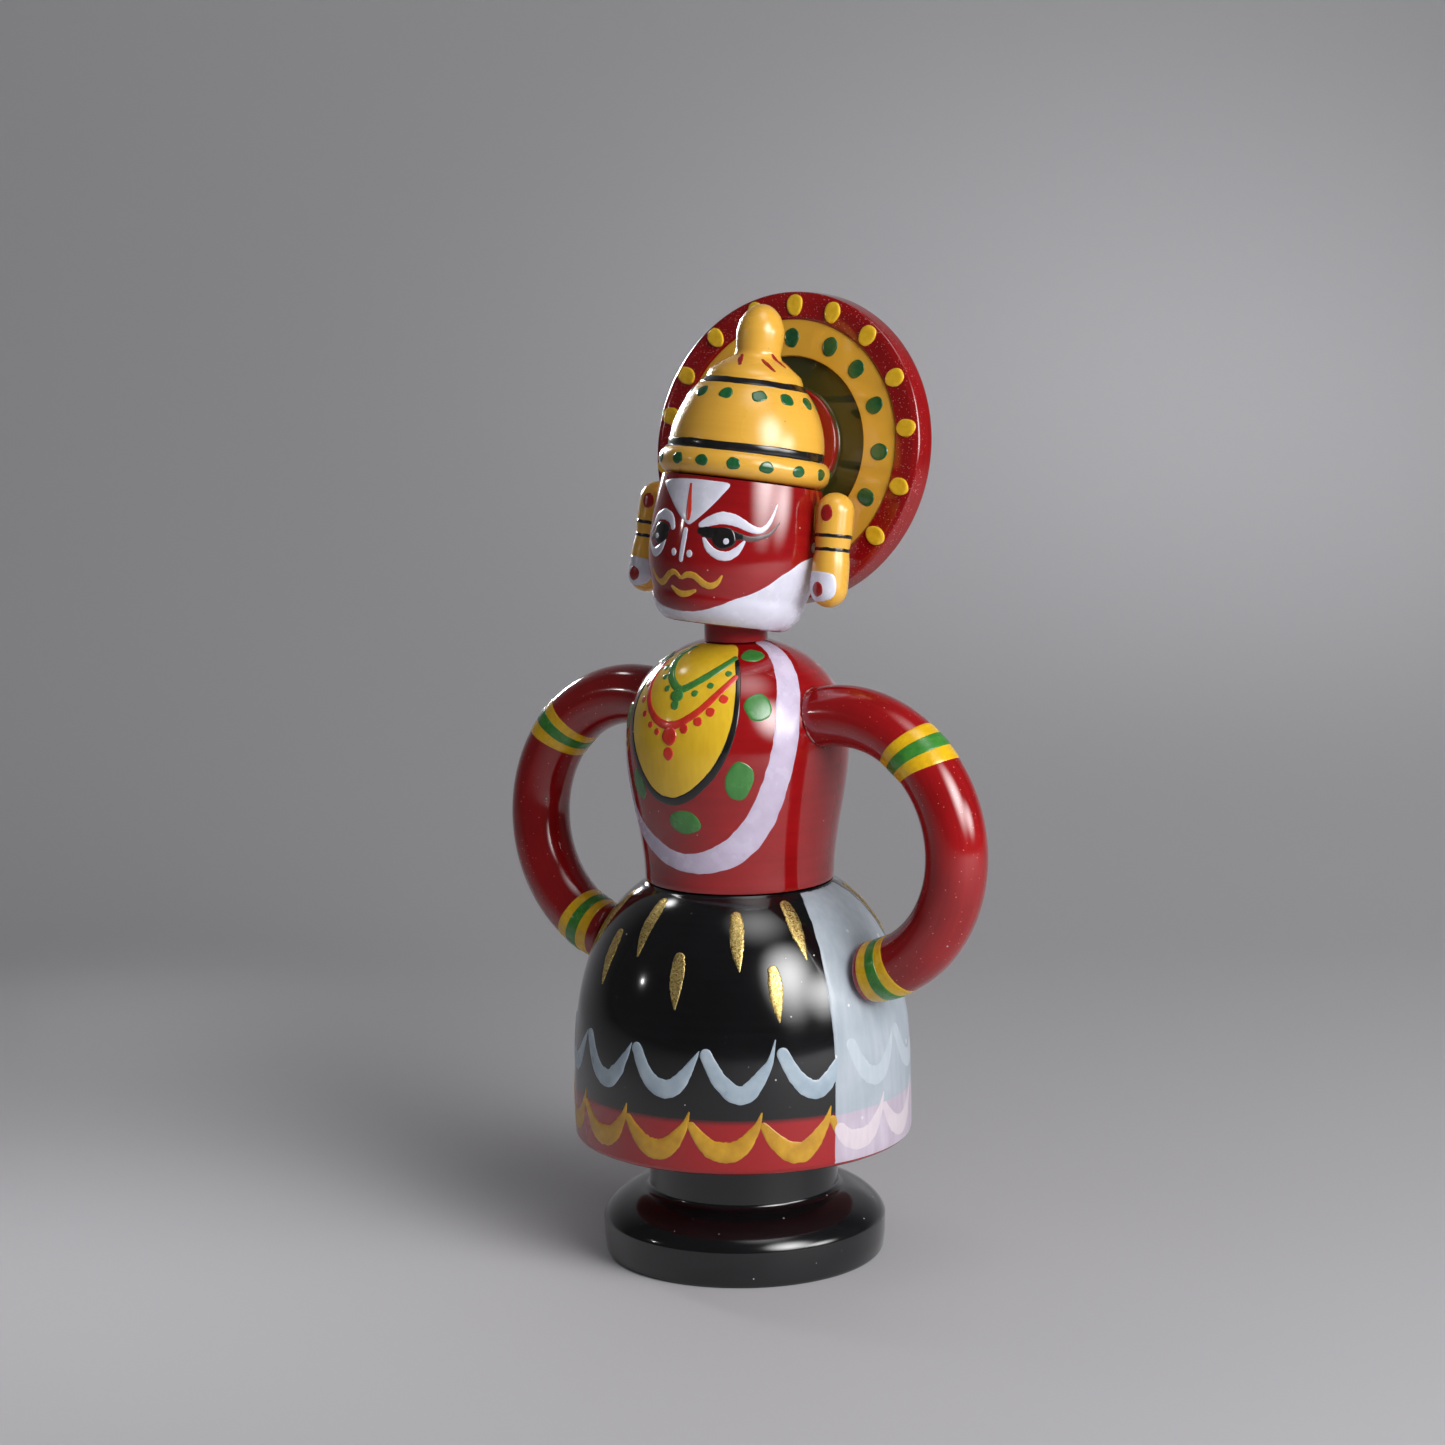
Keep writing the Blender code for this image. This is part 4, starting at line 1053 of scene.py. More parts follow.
SPRING_STEPS = 120           # along each half of the wire
PLUG_FACETS = 96
BORE_RADIUS = 12.0 * MM
BORE_DEPTH = 28.9 * MM
PLUG_FACE = 25.6 * MM        # above the head's underside
WIRE = 0.5 * MM
COIL = 4.9 * MM
COIL_TURNS = 6


def coil_half(first, last):
    """Wire wound from one share of the coil's length to another, bent evenly by the head's lean."""
    foot = Vector((0.0, 0.0, NECK_TOP + FIT + WIRE))
    tip = underside + head_up * (PLUG_FACE - FIT - WIRE)
    lean = HEAD_PLACE.to_quaternion()
    shape = bmesh.new()
    rings = []
    for step in range(SPRING_STEPS + 1):
        share = first + (last - first) * step / SPRING_STEPS
        centre = foot.lerp(bending_point, share).lerp(bending_point.lerp(tip, share), share)
        facing = Quaternion().slerp(lean, share)
        turn = math.tau * COIL_TURNS * share
        out = facing @ Vector((math.cos(turn), math.sin(turn), 0.0))
        upward = facing @ Vector((0.0, 0.0, 1.0))
        rings.append([
            shape.verts.new(centre + out * (COIL + WIRE * math.cos(side)) + upward * WIRE * math.sin(side))
            for side in (math.tau * count / 12 for count in range(12))
        ])
    for near, far in zip(rings, rings[1:]):
        for side in range(12):
            shape.faces.new((near[side], near[(side + 1) % 12], far[(side + 1) % 12], far[side]))
    shape.faces.new(rings[0])
    shape.faces.new(rings[-1][::-1])
    return shape, foot, tip


SPRING_STEEL = spring_steel()
for half, (first, last) in (("lower", (0.0, 0.5)), ("upper", (0.5, 1.0))):
    wire, foot, tip = coil_half(first, last)
    spring = finish_piece("spring_" + half, wire, Matrix(), SPRING_STEEL, None)
    if half == "lower":
        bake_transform(spring)
    else:
        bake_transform(spring)
    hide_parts("neck_spring")

plug = finish_piece("spring_plug_turned", turned(soften([
    (0.0, BORE_DEPTH - FIT, 0), (BORE_RADIUS - FIT, BORE_DEPTH - FIT, 0.3 * MM),
    (BORE_RADIUS - FIT, PLUG_FACE, 0.3 * MM), (SPIGOT_RADIUS, PLUG_FACE, 0),
    (SPIGOT_RADIUS, PLUG_FACE - SPIGOT_LENGTH, 0.4 * MM), (0.0, PLUG_FACE - SPIGOT_LENGTH, 0),
]), PLUG_FACETS), HEAD_PLACE, BARE_WOOD, "spring_end")
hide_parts("spring_plug")


# ---- Head --------------------------------------------------------------------------------------
# A red barrel with a flat sawn behind it for the halo and a deep bore from below. The white of the
# beard goes on first, then eyes, brows and caste mark, then the black, and the moustache in ochre last.

HEAD_BELLY = 18.0 * MM
HEAD_TOP = 33.0 * MM
HEAD_RADIUS = 19.35 * MM
CHIN_RADIUS = 17.2 * MM
BROW_RADIUS = 18.2 * MM
CHIN_CORNER = 7.2 * MM
NAPE = 14.4 * MM


def head_profile(along):
    """Barrel side above the rounded chin; below it, along goes round the chin's corner."""
    if along >= HEAD_BELLY:
        rise = (along - HEAD_BELLY) / (HEAD_TOP - HEAD_BELLY)
        return HEAD_RADIUS - (HEAD_RADIUS - BROW_RADIUS) * rise * rise, along
    if along >= CHIN_CORNER:
        fall = (HEAD_BELLY - along) / (HEAD_BELLY - CHIN_CORNER)
        return HEAD_RADIUS - (HEAD_RADIUS - CHIN_RADIUS) * fall * fall, along
    angle = (CHIN_CORNER - along) / CHIN_CORNER
    return (
        CHIN_RADIUS - CHIN_CORNER + CHIN_CORNER * math.cos(angle),
        CHIN_CORNER - CHIN_CORNER * math.sin(angle),
    )


def saw_flat(shape, distance):
    """Saws a turning off flat at a distance behind its middle and closes the cut."""
    cut = bmesh.ops.bisect_plane(
        shape, geom=shape.verts[:] + shape.edges[:] + shape.faces[:], dist=0.001 * MM,
        plane_co=(0.0, distance, 0.0), plane_no=(0.0, 1.0, 0.0), clear_outer=True,
    )
    edges = [part for part in cut["geom_cut"] if isinstance(part, bmesh.types.BMEdge)]
    bmesh.ops.contextual_create(shape, geom=edges)


BARE_WITHIN = 12.8 * MM      # the lac stops at the bore's mouth
mouth = [
    (0.0, BORE_DEPTH), (BORE_RADIUS, BORE_DEPTH), (BORE_RADIUS, 1.4 * MM),
    (BORE_RADIUS + 0.4 * MM, 0.9 * MM),
]
chin = [head_profile(CHIN_CORNER * (1.0 - math.radians(66.0 - 5.5 * step))) for step in range(12)]
barrel = [head_profile(CHIN_CORNER + (HEAD_TOP - CHIN_CORNER) * step / 48) for step in range(49)]
head_shape = turned(mouth + chin + barrel + [(0.0, HEAD_TOP)])
saw_flat(head_shape, NAPE)
for face in head_shape.faces:
    middle = face.calc_center_median()
    face.material_index = 1 if middle.xy.length < BARE_WITHIN and middle.z < HEAD_TOP - MM else 0
FACE_LAC = lac(
    "face_lac", (0.2, 0.003, 0.004), (0.33, 0.006, 0.008), gloss=0.1, dust=0.04, dust_colour=PINK_DUST,
)
head = finish_piece("head_barrel", head_shape, HEAD_PLACE, (FACE_LAC, BARE_WOOD), "head_group")
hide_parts("head")
head_side = PaintedSide(head_profile)

FACE_WHITE = paint(
    "face_white", (0.6, 0.59, 0.7), (0.72, 0.72, 0.83), gloss=0.25, hair=(300.0, 300.0, 300.0), coat=0.4,
)
BEARD_EDGE = [
    (-118, 19.0), (-104, 17.6), (-90, 14.0), (-78, 9.6), (-66, 7.4), (-55, 6.4), (-42, 4.9), (-31, 3.6),
    (-19, 2.9), (-9, 2.6), (1, 2.7), (10, 3.1), (18, 3.9), (28, 5.2), (37, 6.7), (45, 7.8), (52, 8.9),
    (60.5, 10.8), (69, 13.2), (77, 15.0), (85, 16.8), (96, 18.0), (108, 18.8), (118, 19.4),
]
BEARD_FOOT = -0.6 * MM       # round the chin's corner, short of the underside's middle
beard = bmesh.new()
rows = []
shares = [0.0, 0.02, 0.06] + [step / 18 for step in range(2, 18)] + [0.97, 1.0]
beard_edge = smooth(BEARD_EDGE, 6)
for index, spot in enumerate(beard_edge):
    rim = index in (0, len(beard_edge) - 1)
    row = []
    top = spot.y * MM + 0.12 * MM * noise.noise(Vector((index * 0.31, 1.0, 0.0)))
    for share in shares:
        lift = -0.01 if rim or share in (0.0, 1.0) else (0.1 if 0.03 < share < 0.98 else 0.07)
        row.append((Vector((spot.x, top + (BEARD_FOOT - top) * share)), lift * MM))
    rows.append(row)
lay_skin(beard, head_side, rows)
finish_piece("beard", beard, HEAD_PLACE, FACE_WHITE, "head_group")

white = bmesh.new()
tilak = [
    (-34, 31.2), (-20, 31.9), (-4, 32.2), (12, 32.2), (25, 31.9), (21, 29.4), (15, 26.8), (8.5, 24.4),
    (3, 22.7), (-0.5, 22.1), (-5, 22.9), (-12, 24.8), (-20, 27.2), (-28, 29.4),
]
tilak_rim = [Vector((spot.x, spot.y * MM)) for spot in smooth(tilak, 4, closed=True)]
patch(white, head_side, tilak_rim, (-1.0, 28.6 * MM), rings=8)
stroke(white, head_side, [(-2.0, 20.8, 1.2), (-2.6, 18.0, 1.4), (-3.6, 14.2, 1.1)], blunt=(True, True))
dab(white, head_side, (-10.0, 15.7), 1.5, 1.7)
dab(white, head_side, (3.0, 15.7), 1.5, 1.7)
stroke(white, head_side, [
    (9.5, 22.3, 1.5), (16, 23.5, 2.3), (23, 24.3, 2.7), (30, 24.2, 2.6), (36, 23.6, 2.2), (42, 22.8, 1.8),
    (47, 22.5, 1.5), (51, 22.9, 1.2), (55.5, 24.9, 0.9), (59.5, 28.8, 0.3),
], blunt=(True, False))
stroke(white, head_side, [
    (12.0, 19.6, 0.7), (14, 18.4, 1.3), (17, 17.2, 1.7), (21, 16.4, 1.9), (27, 16.0, 2.1), (32, 16.6, 1.9),
    (36, 17.9, 1.5), (39.5, 19.9, 0.5),
], blunt=(False, False))
stroke(white, head_side, [
    (-13.5, 21.2, 1.4), (-17, 23.0, 2.1), (-24, 23.8, 2.5), (-29, 23.6, 2.2), (-34, 23.0, 1.7),
    (-40, 20.9, 1.0), (-45, 18.8, 0.3),
], blunt=(True, False))
stroke(white, head_side, [
    (-20.0, 18.8, 0.9), (-21.8, 17.4, 1.5), (-25, 16.1, 1.9), (-30, 15.3, 2.1), (-34.5, 15.4, 1.9),
    (-40, 16.6, 1.1), (-44, 18.0, 0.4),
], blunt=(False, False))
finish_piece("face_white_marks", white, HEAD_PLACE, FACE_WHITE, "head_group")

GREY_WASH = paint("grey_brush_tail", (0.03, 0.022, 0.024), (0.12, 0.07, 0.07), gloss=0.3)
tails = bmesh.new()
stroke(tails, head_side, [
    (36, 20.7, 1.3), (42, 20.4, 1.3), (48, 20.8, 1.1), (53, 21.5, 0.9), (57, 22.4, 0.7), (62.5, 24.9, 0.2),
], blunt=(True, False), thickness=0.09)
finish_piece("eye_tails", tails, HEAD_PLACE, GREY_WASH, "head_group")

black = bmesh.new()
for eye, lid in (
    ((25.5, 19.9), [(10, 21.0, 1.8), (14, 20.8, 2.6), (19, 20.8, 2.5), (26, 21.2, 2.3), (33, 20.7, 1.9),
                    (38, 20.7, 1.2)]),
    ((-26.0, 19.6), [(-17.5, 20.4, 1.0), (-20, 20.6, 1.9), (-25, 20.7, 2.2), (-30, 20.3, 2.0),
                     (-36, 19.0, 1.3), (-41, 18.0, 0.5)]),
):
    stroke(black, head_side, lid, thickness=0.1, base=0.06, blunt=(True, False))
    dab(black, head_side, eye, 5.6, 4.9, base=0.1, rings=7)
finish_piece("eyes", black, HEAD_PLACE, BLACK_PAINT, "head_group")
glints = bmesh.new()
dab(glints, head_side, (27.4, 19.3), 1.4, 1.4, base=0.22)
dab(glints, head_side, (-29.5, 18.8), 1.2, 1.2, base=0.22)
finish_piece("eye_glints", glints, HEAD_PLACE, FACE_WHITE, "head_group")

mark = bmesh.new()
stroke(mark, head_side, [
    (-3.8, 31.2, 0.6), (-2.6, 27.8, 1.1), (-1.6, 25.2, 1.4), (-1.2, 23.4, 1.0),
], thickness=0.1, base=0.09, blunt=(False, True))
finish_piece("caste_mark_line", mark, HEAD_PLACE, CORAL, "head_group")

OCHRE = paint("moustache_ochre", (0.5, 0.24, 0.02), (0.74, 0.42, 0.05), gloss=0.3)
ochre = bmesh.new()
stroke(ochre, head_side, [
    (-36.5, 11.6, 0.5), (-33.5, 9.9, 1.0), (-28, 8.8, 1.3), (-23, 8.9, 1.5), (-18.5, 9.8, 1.5),
    (-14, 10.9, 1.4), (-9, 11.3, 1.2), (-4.6, 10.3, 0.9),
], blunt=(False, True))
stroke(ochre, head_side, [
    (-2.6, 10.3, 0.9), (1.5, 11.0, 1.4), (7, 11.0, 1.5), (11, 10.2, 1.6), (15, 9.4, 1.6), (20, 9.2, 1.5),
    (24.5, 10.1, 1.1), (27.4, 11.8, 0.4),
], blunt=(True, False))
stroke(ochre, head_side, [
    (-13, 8.0, 0.8), (-9, 7.2, 1.2), (-4, 6.7, 1.4), (1.5, 6.9, 1.3), (7.5, 7.7, 0.8),
])
finish_piece("moustache_and_lip", ochre, HEAD_PLACE, OCHRE, "head_group")


# ---- Crown -------------------------------------------------------------------------------------
# Turned in one piece in yellow lac: a rolled brim, a domed cap, a sloping step and an egg for a finial.
# It has the head's flat at the back. Black bands, green dots and red dashes go round it.

CROWN_FOOT = 33.3 * MM
BRIM_ROLL = 3.25 * MM
BRIM_RADIUS = 19.45 * MM
DOME_FOOT = 39.8 * MM
DOME_RADIUS = 17.6 * MM
DOME_CLOSE = 20.4 * MM
DOME_END = 55.8 * MM
DOME_FULLNESS = 2.0
STEP_END = 62.1 * MM
FINIAL_NECK = 5.1 * MM
FINIAL_RADIUS = 5.4 * MM


def crown_outline():
    """From the underside up: brim, dome, step with a fillet, and the finial."""
    brim = arc((BRIM_RADIUS - BRIM_ROLL, CROWN_FOOT + BRIM_ROLL), BRIM_ROLL, -82.0, 66.0, 18)
    points = [(0.0, CROWN_FOOT)] + brim
    for step in range(33):
        height = (DOME_END - 0.5 * MM - DOME_FOOT) * step / 32
        points.append((dome(height, DOME_RADIUS, DOME_CLOSE, DOME_FULLNESS), DOME_FOOT + height))
    rim = dome(DOME_END - DOME_FOOT, DOME_RADIUS, DOME_CLOSE, DOME_FULLNESS)
    points += [(rim + 0.1 * MM, DOME_END), (rim - 0.05 * MM, DOME_END + 0.7 * MM)]
    points += [(rim - 0.6 * MM, DOME_END + 1.9 * MM)]
    fillet = (rim - FINIAL_NECK) * 0.36
    neck_height = STEP_END + 0.2 * fillet
    points += arc((FINIAL_NECK + fillet, neck_height), fillet, 250.0, 180.0, 9)
    belly = STEP_END + 4.7 * MM
    for step in range(1, 9):
        share = step / 9
        points.append((
            FINIAL_NECK + (FINIAL_RADIUS - FINIAL_NECK) * math.sin(share * math.pi / 2),
            neck_height + (belly - neck_height) * share,
        ))
    for step in range(21):
        angle = math.radians(90.0 * step / 20)
        points.append((FINIAL_RADIUS * math.cos(angle), belly + 6.5 * MM * math.sin(angle) ** 1.15))
    return points


def along_height(points):
    """A profile that finds the radius at a height on an outline that only rises."""
    def profile(height):
        for lower, upper in zip(points, points[1:]):
            if lower[1] <= height <= upper[1] and upper[1] > lower[1]:
                share = (height - lower[1]) / (upper[1] - lower[1])
                return lower[0] + (upper[0] - lower[0]) * share, height
        return points[-1]
    return profile


crown_points = crown_outline()
crown_shape = turned(crown_points)
saw_flat(crown_shape, NAPE)
YELLOW_LAC = lac(
    "yellow_lac", (0.72, 0.37, 0.042), (0.8, 0.44, 0.06), gloss=0.24, dust=0.05,
    dust_colour=(0.45, 0.2, 0.02, 1.0), ripple=0.000014,
)
crown = finish_piece("crown_turned", crown_shape, HEAD_PLACE, YELLOW_LAC, "head_group")
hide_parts("crown")
crown_side = PaintedSide(along_height(crown_points))


def hoop(shape, side, height, wide, reach, thickness=0.1, base=0.0):
    """A brushed line nearly all round, from minus reach to plus reach degrees."""
    spots = []
    for step in range(25):
        degrees = -reach + 2 * reach * step / 24
        waver = 0.12 * noise.noise(Vector((degrees * 0.05, height, 0.0)))
        spots.append((degrees, height + waver, wide * (1.0 + waver)))
    stroke(shape, side, spots, thickness, base, ragged=0.04, steps=5)


crown_lines = bmesh.new()
hoop(crown_lines, crown_side, 40.2, 2.0, 132.0)
hoop(crown_lines, crown_side, 55.1, 2.0, 170.0)
finish_piece("crown_bands", crown_lines, HEAD_PLACE, BLACK_PAINT, "head_group")

DOT_GREEN = paint("dot_green", (0.006, 0.055, 0.018), (0.014, 0.13, 0.038), gloss=0.2, coat=0.4)
crown_dots = bmesh.new()
for degrees in (-107, -78.5, -50, -21, 8, 39, 66, 94, 122):
    dab(crown_dots, crown_side, (degrees, 52.0), 3.5, 3.1, ragged=0.12)
for degrees in (-112, -89, -65.5, -42, -17, 4, 26, 48, 72, 96, 119):
    dab(crown_dots, crown_side, (degrees, 36.5), 3.3, 2.6, ragged=0.12)
finish_piece("crown_dots", crown_dots, HEAD_PLACE, DOT_GREEN, "head_group")
dashes = bmesh.new()
for degrees, height in ((-60, 60.0), (0, 60.3), (50, 59.6), (78, 61.0), (130, 60.0)):
    stroke(dashes, crown_side, [
        (degrees - 6, height + 0.9, 0.7), (degrees, height, 1.3), (degrees + 8, height - 1.4, 0.8),
    ], ragged=0.1)
DARK_RED = paint("dark_red", (0.22, 0.008, 0.008), (0.36, 0.012, 0.012), gloss=0.2, coat=0.4)
finish_piece("crown_dashes", dashes, HEAD_PLACE, DARK_RED, "head_group")


# ---- Halo --------------------------------------------------------------------------------------
# A red disc turned with a raised boss, a sunk groove in black, a yellow ring and a low rim, pegged to
# the back of head and crown. Its dots are thick drops of enamel; grit is caught round its rim, its specks
# painted lighter as painted sparkle highlights.

HALO_BOSS = 14.0 * MM
HALO_GROOVE = 20.8 * MM
HALO_RING = 29.2 * MM
HALO_RADIUS = 36.1 * MM
HALO_FRONT = -FIT
HALO_BACK = HALO_FRONT - 6.3 * MM
HALO_GROOVE_DEPTH = 2 * MM
HALO_MIDDLE = 42.7 * MM      # above the head's underside
HALO_FACETS = 256


def halo_outline():
    """From the middle of the front, over the rim, to the middle of the back."""
    rim = HALO_FRONT - 0.5 * MM
    ring = HALO_FRONT - MM
    floor = HALO_FRONT - HALO_GROOVE_DEPTH
    corners = [
        (0.0, HALO_FRONT, 0), (HALO_BOSS, HALO_FRONT, 0.5 * MM), (HALO_BOSS, floor, 0.4 * MM),
        (HALO_GROOVE, floor, 0.4 * MM), (HALO_GROOVE, ring, 0.3 * MM),
        (HALO_RING - 0.5 * MM, ring, 0.2 * MM), (HALO_RING, ring - 0.15 * MM, 0.1 * MM),
        (HALO_RING + 0.5 * MM, rim - 0.05 * MM, 0.3 * MM), (HALO_RADIUS - 2 * MM, rim, 1.5 * MM),
        (HALO_RADIUS - 0.6 * MM, rim - 0.35 * MM, 0.8 * MM), (HALO_RADIUS, HALO_BACK, 0.9 * MM),
        (0.0, HALO_BACK, 0),
    ]
    return soften(corners)


def across_radius(points):
    """A profile that finds the height at a radius on the front of a disc."""
    def profile(radius):
        for inner, outer in zip(points, points[1:]):
            if inner[0] <= radius <= outer[0] and outer[0] > inner[0]:
                share = (radius - inner[0]) / (outer[0] - inner[0])
                return radius, inner[1] + (outer[1] - inner[1]) * share
        return radius, points[0][1]
    return profile


def halo_rings(tree, colour):
    """Black in the groove, tinted olive as a painted reflection of the yellow crown, and yellow on the ring,
    each lac meeting the next in a slightly worn line.
    """
    place = object_place(tree)
    shift = math_node(tree, "MULTIPLY", cloudy(tree, place, 160.0), 0.0002)
    radius = math_node(tree, "ADD", distance_out(tree, place), shift)
    front = math_node(tree, "GREATER_THAN", height_up(tree, place), HALO_BACK + 2.5 * MM)
    worn = 0.08 * MM
    for start, stop, lacquer in (
        # The groove's dark olive is black lac with a painted reflection of the yellow crown mixed into its
        # colour.
        (HALO_BOSS + 0.05 * MM, HALO_GROOVE, (0.04, 0.042, 0.01, 1.0)),
        (HALO_GROOVE, HALO_RING, (0.76, 0.42, 0.045, 1.0)),
    ):
        past = spread(tree, radius, 0.0, 1.0, start, start + worn)
        within = spread(tree, radius, 1.0, 0.0, stop, stop + worn)
        share = math_node(tree, "MULTIPLY", math_node(tree, "MULTIPLY", past, within), front)
        colour = mix(tree, share, colour, lacquer)
    # Grit on the outer rim, its specks painted lighter in the colour as painted sparkle highlights.
    grit_and_painted_sparkle = use_group(tree, CAUGHT_DUST, Per_Metre=3200.0, Share=0.3, Size=0.5, Height=0.0)
    outer = math_node(tree, "GREATER_THAN", radius, HALO_RING + 0.4 * MM)
    outer = math_node(tree, "MULTIPLY", outer, front)
    share = math_node(tree, "MULTIPLY", grit_and_painted_sparkle.outputs["Mask"], outer)
    return mix(tree, share, colour, (0.5, 0.16, 0.16, 1.0))


HALO_PLACE = (
    HEAD_PLACE @ Matrix.Translation((0.0, NAPE, HALO_MIDDLE)) @ Matrix.Rotation(math.radians(90.0), 4, "X")
)
halo_points = halo_outline()
HALO_LAC = lac(
    "halo_lac", (0.2, 0.003, 0.004), (0.33, 0.007, 0.008), gloss=0.09, dust=0.03, banded=halo_rings,
    rings=0.000006,
)
halo = finish_piece(
    "halo_turned", turned(halo_points, HALO_FACETS), HALO_PLACE, HALO_LAC, "head_group",
)
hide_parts("halo_disc")
halo_side = PaintedSide(across_radius(halo_points), facing=-1.0)

DROP_YELLOW = paint("drop_yellow", (0.7, 0.4, 0.01), (0.86, 0.56, 0.03), gloss=0.12, coat=0.8)
yellow_drops = bmesh.new()
for degrees in (-144.5, -123, -102.5, -82, -64, -43.5, -22, -3, 15.5, 35, 57, 78, 101.5, 123.5, 144):
    dab(yellow_drops, halo_side, (180.0 - degrees, 32.4), 4.1, 5.0, thickness=0.5, ragged=0.06, rings=7)
finish_piece("halo_yellow_drops", yellow_drops, HALO_PLACE, DROP_YELLOW, "head_group")
green_drops = bmesh.new()
for degrees in (-145, -122, -98.5, -75, -51, -27.5, -4, 20.5, 41, 63.5, 88, 112.5, 136):
    dab(green_drops, halo_side, (180.0 - degrees, 25.0), 3.9, 4.6, thickness=0.22, ragged=0.06, rings=6)
finish_piece("halo_green_drops", green_drops, HALO_PLACE, DOT_GREEN, "head_group")


# ---- Ear ornaments -----------------------------------------------------------------------------
# Round-ended yellow rods, each on a short pin: a red dot near the top, two black rings at the waist,
# and a white patch with a red dot near the bottom.

EAR_FACETS = 96
EAR_RADIUS = 4.2 * MM
EAR_HALF = 8.6 * MM          # from the middle to where the round ends start
EAR_HEIGHT = 19.5 * MM       # of their middles above the head's underside
EAR_UNEVEN = 0.8 * MM        # the left one sits this much higher, and the right one as much lower
EAR_BACK = 2.9 * MM
EAR_SPLAY = math.radians(2.6)


def ear_profile(height):
    if abs(height) > EAR_HALF:
        over = min((abs(height) - EAR_HALF) / EAR_RADIUS, 0.9999)
        return EAR_RADIUS * math.sqrt(1.0 - over * over), height
    waist = math.exp(-((height / (2.0 * MM)) ** 2))
    return EAR_RADIUS - 0.35 * MM * waist, height


def ear_outline():
    """Heights closer together towards the round ends."""
    points = []
    for step in range(73):
        angle = math.pi * step / 72
        height = math.cos(angle) * (EAR_HALF + EAR_RADIUS)
        if 0 < step < 72:
            points.append(ear_profile(height))
        else:
            points.append((0.0, height))
    return points


EAR_TIP = (
    (-48, -5.4), (-20, -5.0), (10, -5.1), (48, -5.6), (60, -8.2), (52, -10.6), (10, -11.6), (-40, -11.4),
    (-58, -8.6),
)
ear_side = PaintedSide(ear_profile)
for side_name, way in SIDES:
    standoff = 0.8 * MM if way < 0 else 0.0
    reach = HEAD_RADIUS + EAR_RADIUS + FIT + standoff + 6.4 * MM * math.sin(EAR_SPLAY)
    out = way * math.sqrt(reach * reach - EAR_BACK * EAR_BACK)
    middle = Matrix.Translation((out, EAR_BACK, EAR_HEIGHT + way * EAR_UNEVEN))
    place = HEAD_PLACE @ middle @ Matrix.Rotation(-way * EAR_SPLAY, 4, "Y")
    ear_shape = turned(ear_outline(), EAR_FACETS)
    ear = finish_piece("ear_turned_" + side_name, ear_shape, place, YELLOW_LAC, "head_group")
    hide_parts("ear_" + side_name)
    face_turn = 4.0 if way > 0 else 0.0
    ear_white, ear_red, ear_black = bmesh.new(), bmesh.new(), bmesh.new()
    tip = [(face_turn - 10 + degrees, height) for degrees, height in EAR_TIP]
    tip_rim = [Vector((spot.x, spot.y * MM)) for spot in smooth(tip, 5, closed=True)]
    patch(ear_white, ear_side, tip_rim, (face_turn - 8.0, -8.4 * MM), rings=8)
    dab(ear_red, ear_side, (face_turn - 10.0, -9.0), 3.0, 3.3, base=0.09)
    dab(ear_red, ear_side, (face_turn, 8.0), 3.0, 3.7)
    for height in (3.05, 0.0):
        hoop(ear_black, ear_side, height, 0.8, 178.5, thickness=0.09)
    finish_piece("ear_white_" + side_name, ear_white, place, FACE_WHITE, "head_group")
    finish_piece("ear_red_" + side_name, ear_red, place, DARK_RED, "head_group")
    finish_piece("ear_rings_" + side_name, ear_black, place, BLACK_PAINT, "head_group")


# ---- Floor, light and camera -------------------------------------------------------------------
# A plain pale sweep of paper. A large soft light stands on the doll's left with a lower one beside it and
# a dim one overhead; small ones put a sparkle on the front, edge the halo, and brighten the paper.

def sweep_paper():
    """Paper that lies flat under the doll and sweeps up behind it without an edge."""
    near_edge, flat_end, bend, top, half_width = -2.0, 0.3, 0.7, 2.6, 3.0
    profile = [(near_edge, 0.0)]
    for step in range(33):
        angle = math.radians(90.0 * step / 32)
        profile.append((flat_end + bend * math.sin(angle), bend * (1.0 - math.cos(angle))))
    profile.append((flat_end + bend, top))
    shape = bmesh.new()
    rows = [
        [shape.verts.new((across, away, up)) for across in (-half_width, half_width)] for away, up in profile
    ]
    for near, far in zip(rows, rows[1:]):
        shape.faces.new((near[0], near[1], far[1], far[0]))
    mesh = bpy.data.meshes.new("paper_sweep")
    shape.to_mesh(mesh)
    shape.free()
    mesh.shade_smooth()
    paper = bpy.data.objects.new("paper_sweep", mesh)
    bpy.context.scene.collection.objects.link(paper)
    mesh.materials.append(blank_material("paper", Roughness=0.7, Base_Color=PAPER_GREY)[0])
    paper.rotation_euler = (0.0, 0.0, math.radians(CAMERA_AZIMUTH))


PAPER_GREY = (0.5, 0.495, 0.515, 1.0)
CAMERA_AZIMUTH = 37.6
CAMERA_DISTANCE = 0.7442
CAMERA_HEIGHT = 0.2403
CAMERA_PITCH = -8.94
CAMERA_YAW = 0.26
CAMERA_ROLL = -0.9
CAMERA_LENS = 82.56

sweep_paper()
camera = bpy.data.objects.new("camera", bpy.data.cameras.new("camera"))
bpy.context.scene.collection.objects.link(camera)
camera.data.lens = CAMERA_LENS
camera.data.sensor_width = 36.0
camera.data.clip_start = 0.01
azimuth = math.radians(CAMERA_AZIMUTH)
camera.location = (
    CAMERA_DISTANCE * math.sin(azimuth), -CAMERA_DISTANCE * math.cos(azimuth), CAMERA_HEIGHT,
)
camera.rotation_euler = (
    Matrix.Rotation(math.radians(CAMERA_AZIMUTH + CAMERA_YAW), 3, "Z")
    @ Matrix.Rotation(math.radians(90.0 + CAMERA_PITCH), 3, "X")
    @ Matrix.Rotation(math.radians(CAMERA_ROLL), 3, "Z")
).to_euler()
bpy.context.scene.camera = camera


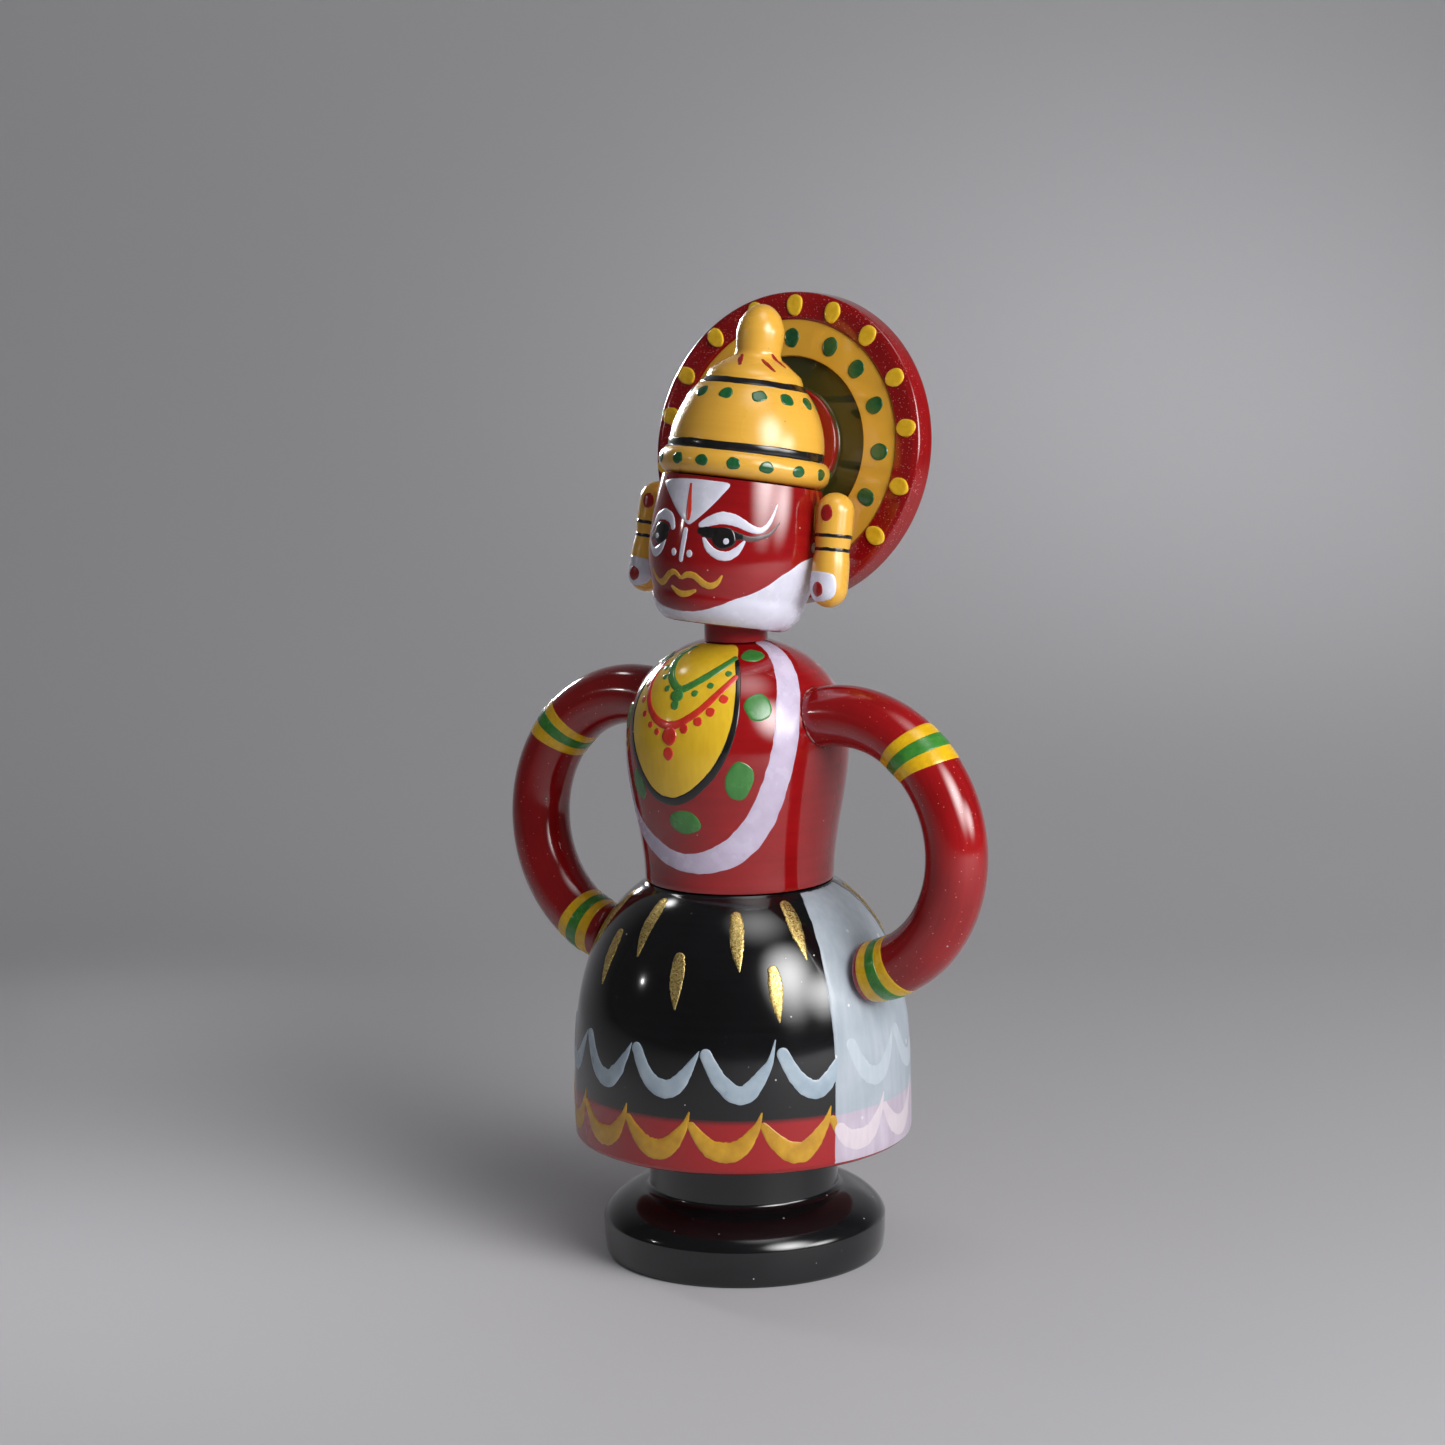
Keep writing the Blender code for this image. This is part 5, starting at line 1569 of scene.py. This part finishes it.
def soft_light(name, towards, distance, size, power, aim=(0.0, 0.0, 0.12), spread=180.0):
    """A light at (degrees round from the doll's front, degrees up) of its aim, brightest in its middle."""
    lamp = bpy.data.lights.new(name, "AREA")
    lamp.shape = "RECTANGLE"
    lamp.size, lamp.size_y = size
    lamp.energy = power
    lamp.spread = math.radians(spread)
    lamp.use_nodes = True
    tree = lamp.node_tree
    across = node(tree, "ShaderNodeNewGeometry").outputs["Parametric"]
    middle = node(tree, "ShaderNodeVectorMath", {0: across, 1: (0.5, 0.5, 0.0)}, operation="DISTANCE")
    fall = node(
        tree, "ShaderNodeMapRange",
        {"Value": middle.outputs["Value"], "From Min": 0.0, "From Max": 0.52, "To Min": 3.9, "To Max": 0.0},
        interpolation_type="SMOOTHSTEP",
    )
    tree.links.new(fall.outputs[0], tree.nodes["Emission"].inputs["Strength"])
    piece = bpy.data.objects.new(name, lamp)
    bpy.context.scene.collection.objects.link(piece)
    around, up = math.radians(towards[0]), math.radians(towards[1])
    way = Vector((math.sin(around) * math.cos(up), -math.cos(around) * math.cos(up), math.sin(up)))
    piece.location = Vector(aim) + way * distance
    piece.rotation_euler = way.to_track_quat("Z", "Y").to_euler()


soft_light("key_softbox", (76, 26), 0.95, (0.8, 0.9), 8.2)
soft_light("low_side_light", (100, 12), 0.9, (0.6, 0.4), 2.2)
soft_light("overhead", (70, 70), 1.3, (1.1, 1.1), 2.9)
soft_light("front_sparkle", (-42, 15), 1.5, (0.07, 0.07), 0.4)
soft_light("rim_light", (-118, 8), 0.5, (0.08, 0.22), 0.05, aim=(0.0, 0.0, 0.2), spread=16)
soft_light("backdrop_glow", (60, 40), 0.8, (0.25, 0.25), 0.1, aim=(-0.3, 0.7, 0.155), spread=40)
soft_light("left_floor", (-100, 55), 0.9, (0.25, 0.25), 0.05, aim=(-0.12, -0.12, 0.0), spread=22)
soft_light("far_floor_streak", (-120, 50), 0.9, (0.08, 0.08), 0.005, aim=(-0.274, 0.06, 0.0), spread=12)
world = bpy.data.worlds.new("dim_room")
world.use_nodes = True
world.node_tree.nodes["Background"].inputs["Color"].default_value = (0.06, 0.06, 0.063, 1.0)
bpy.context.scene.world = world
bpy.context.scene.view_settings.view_transform = "Standard"
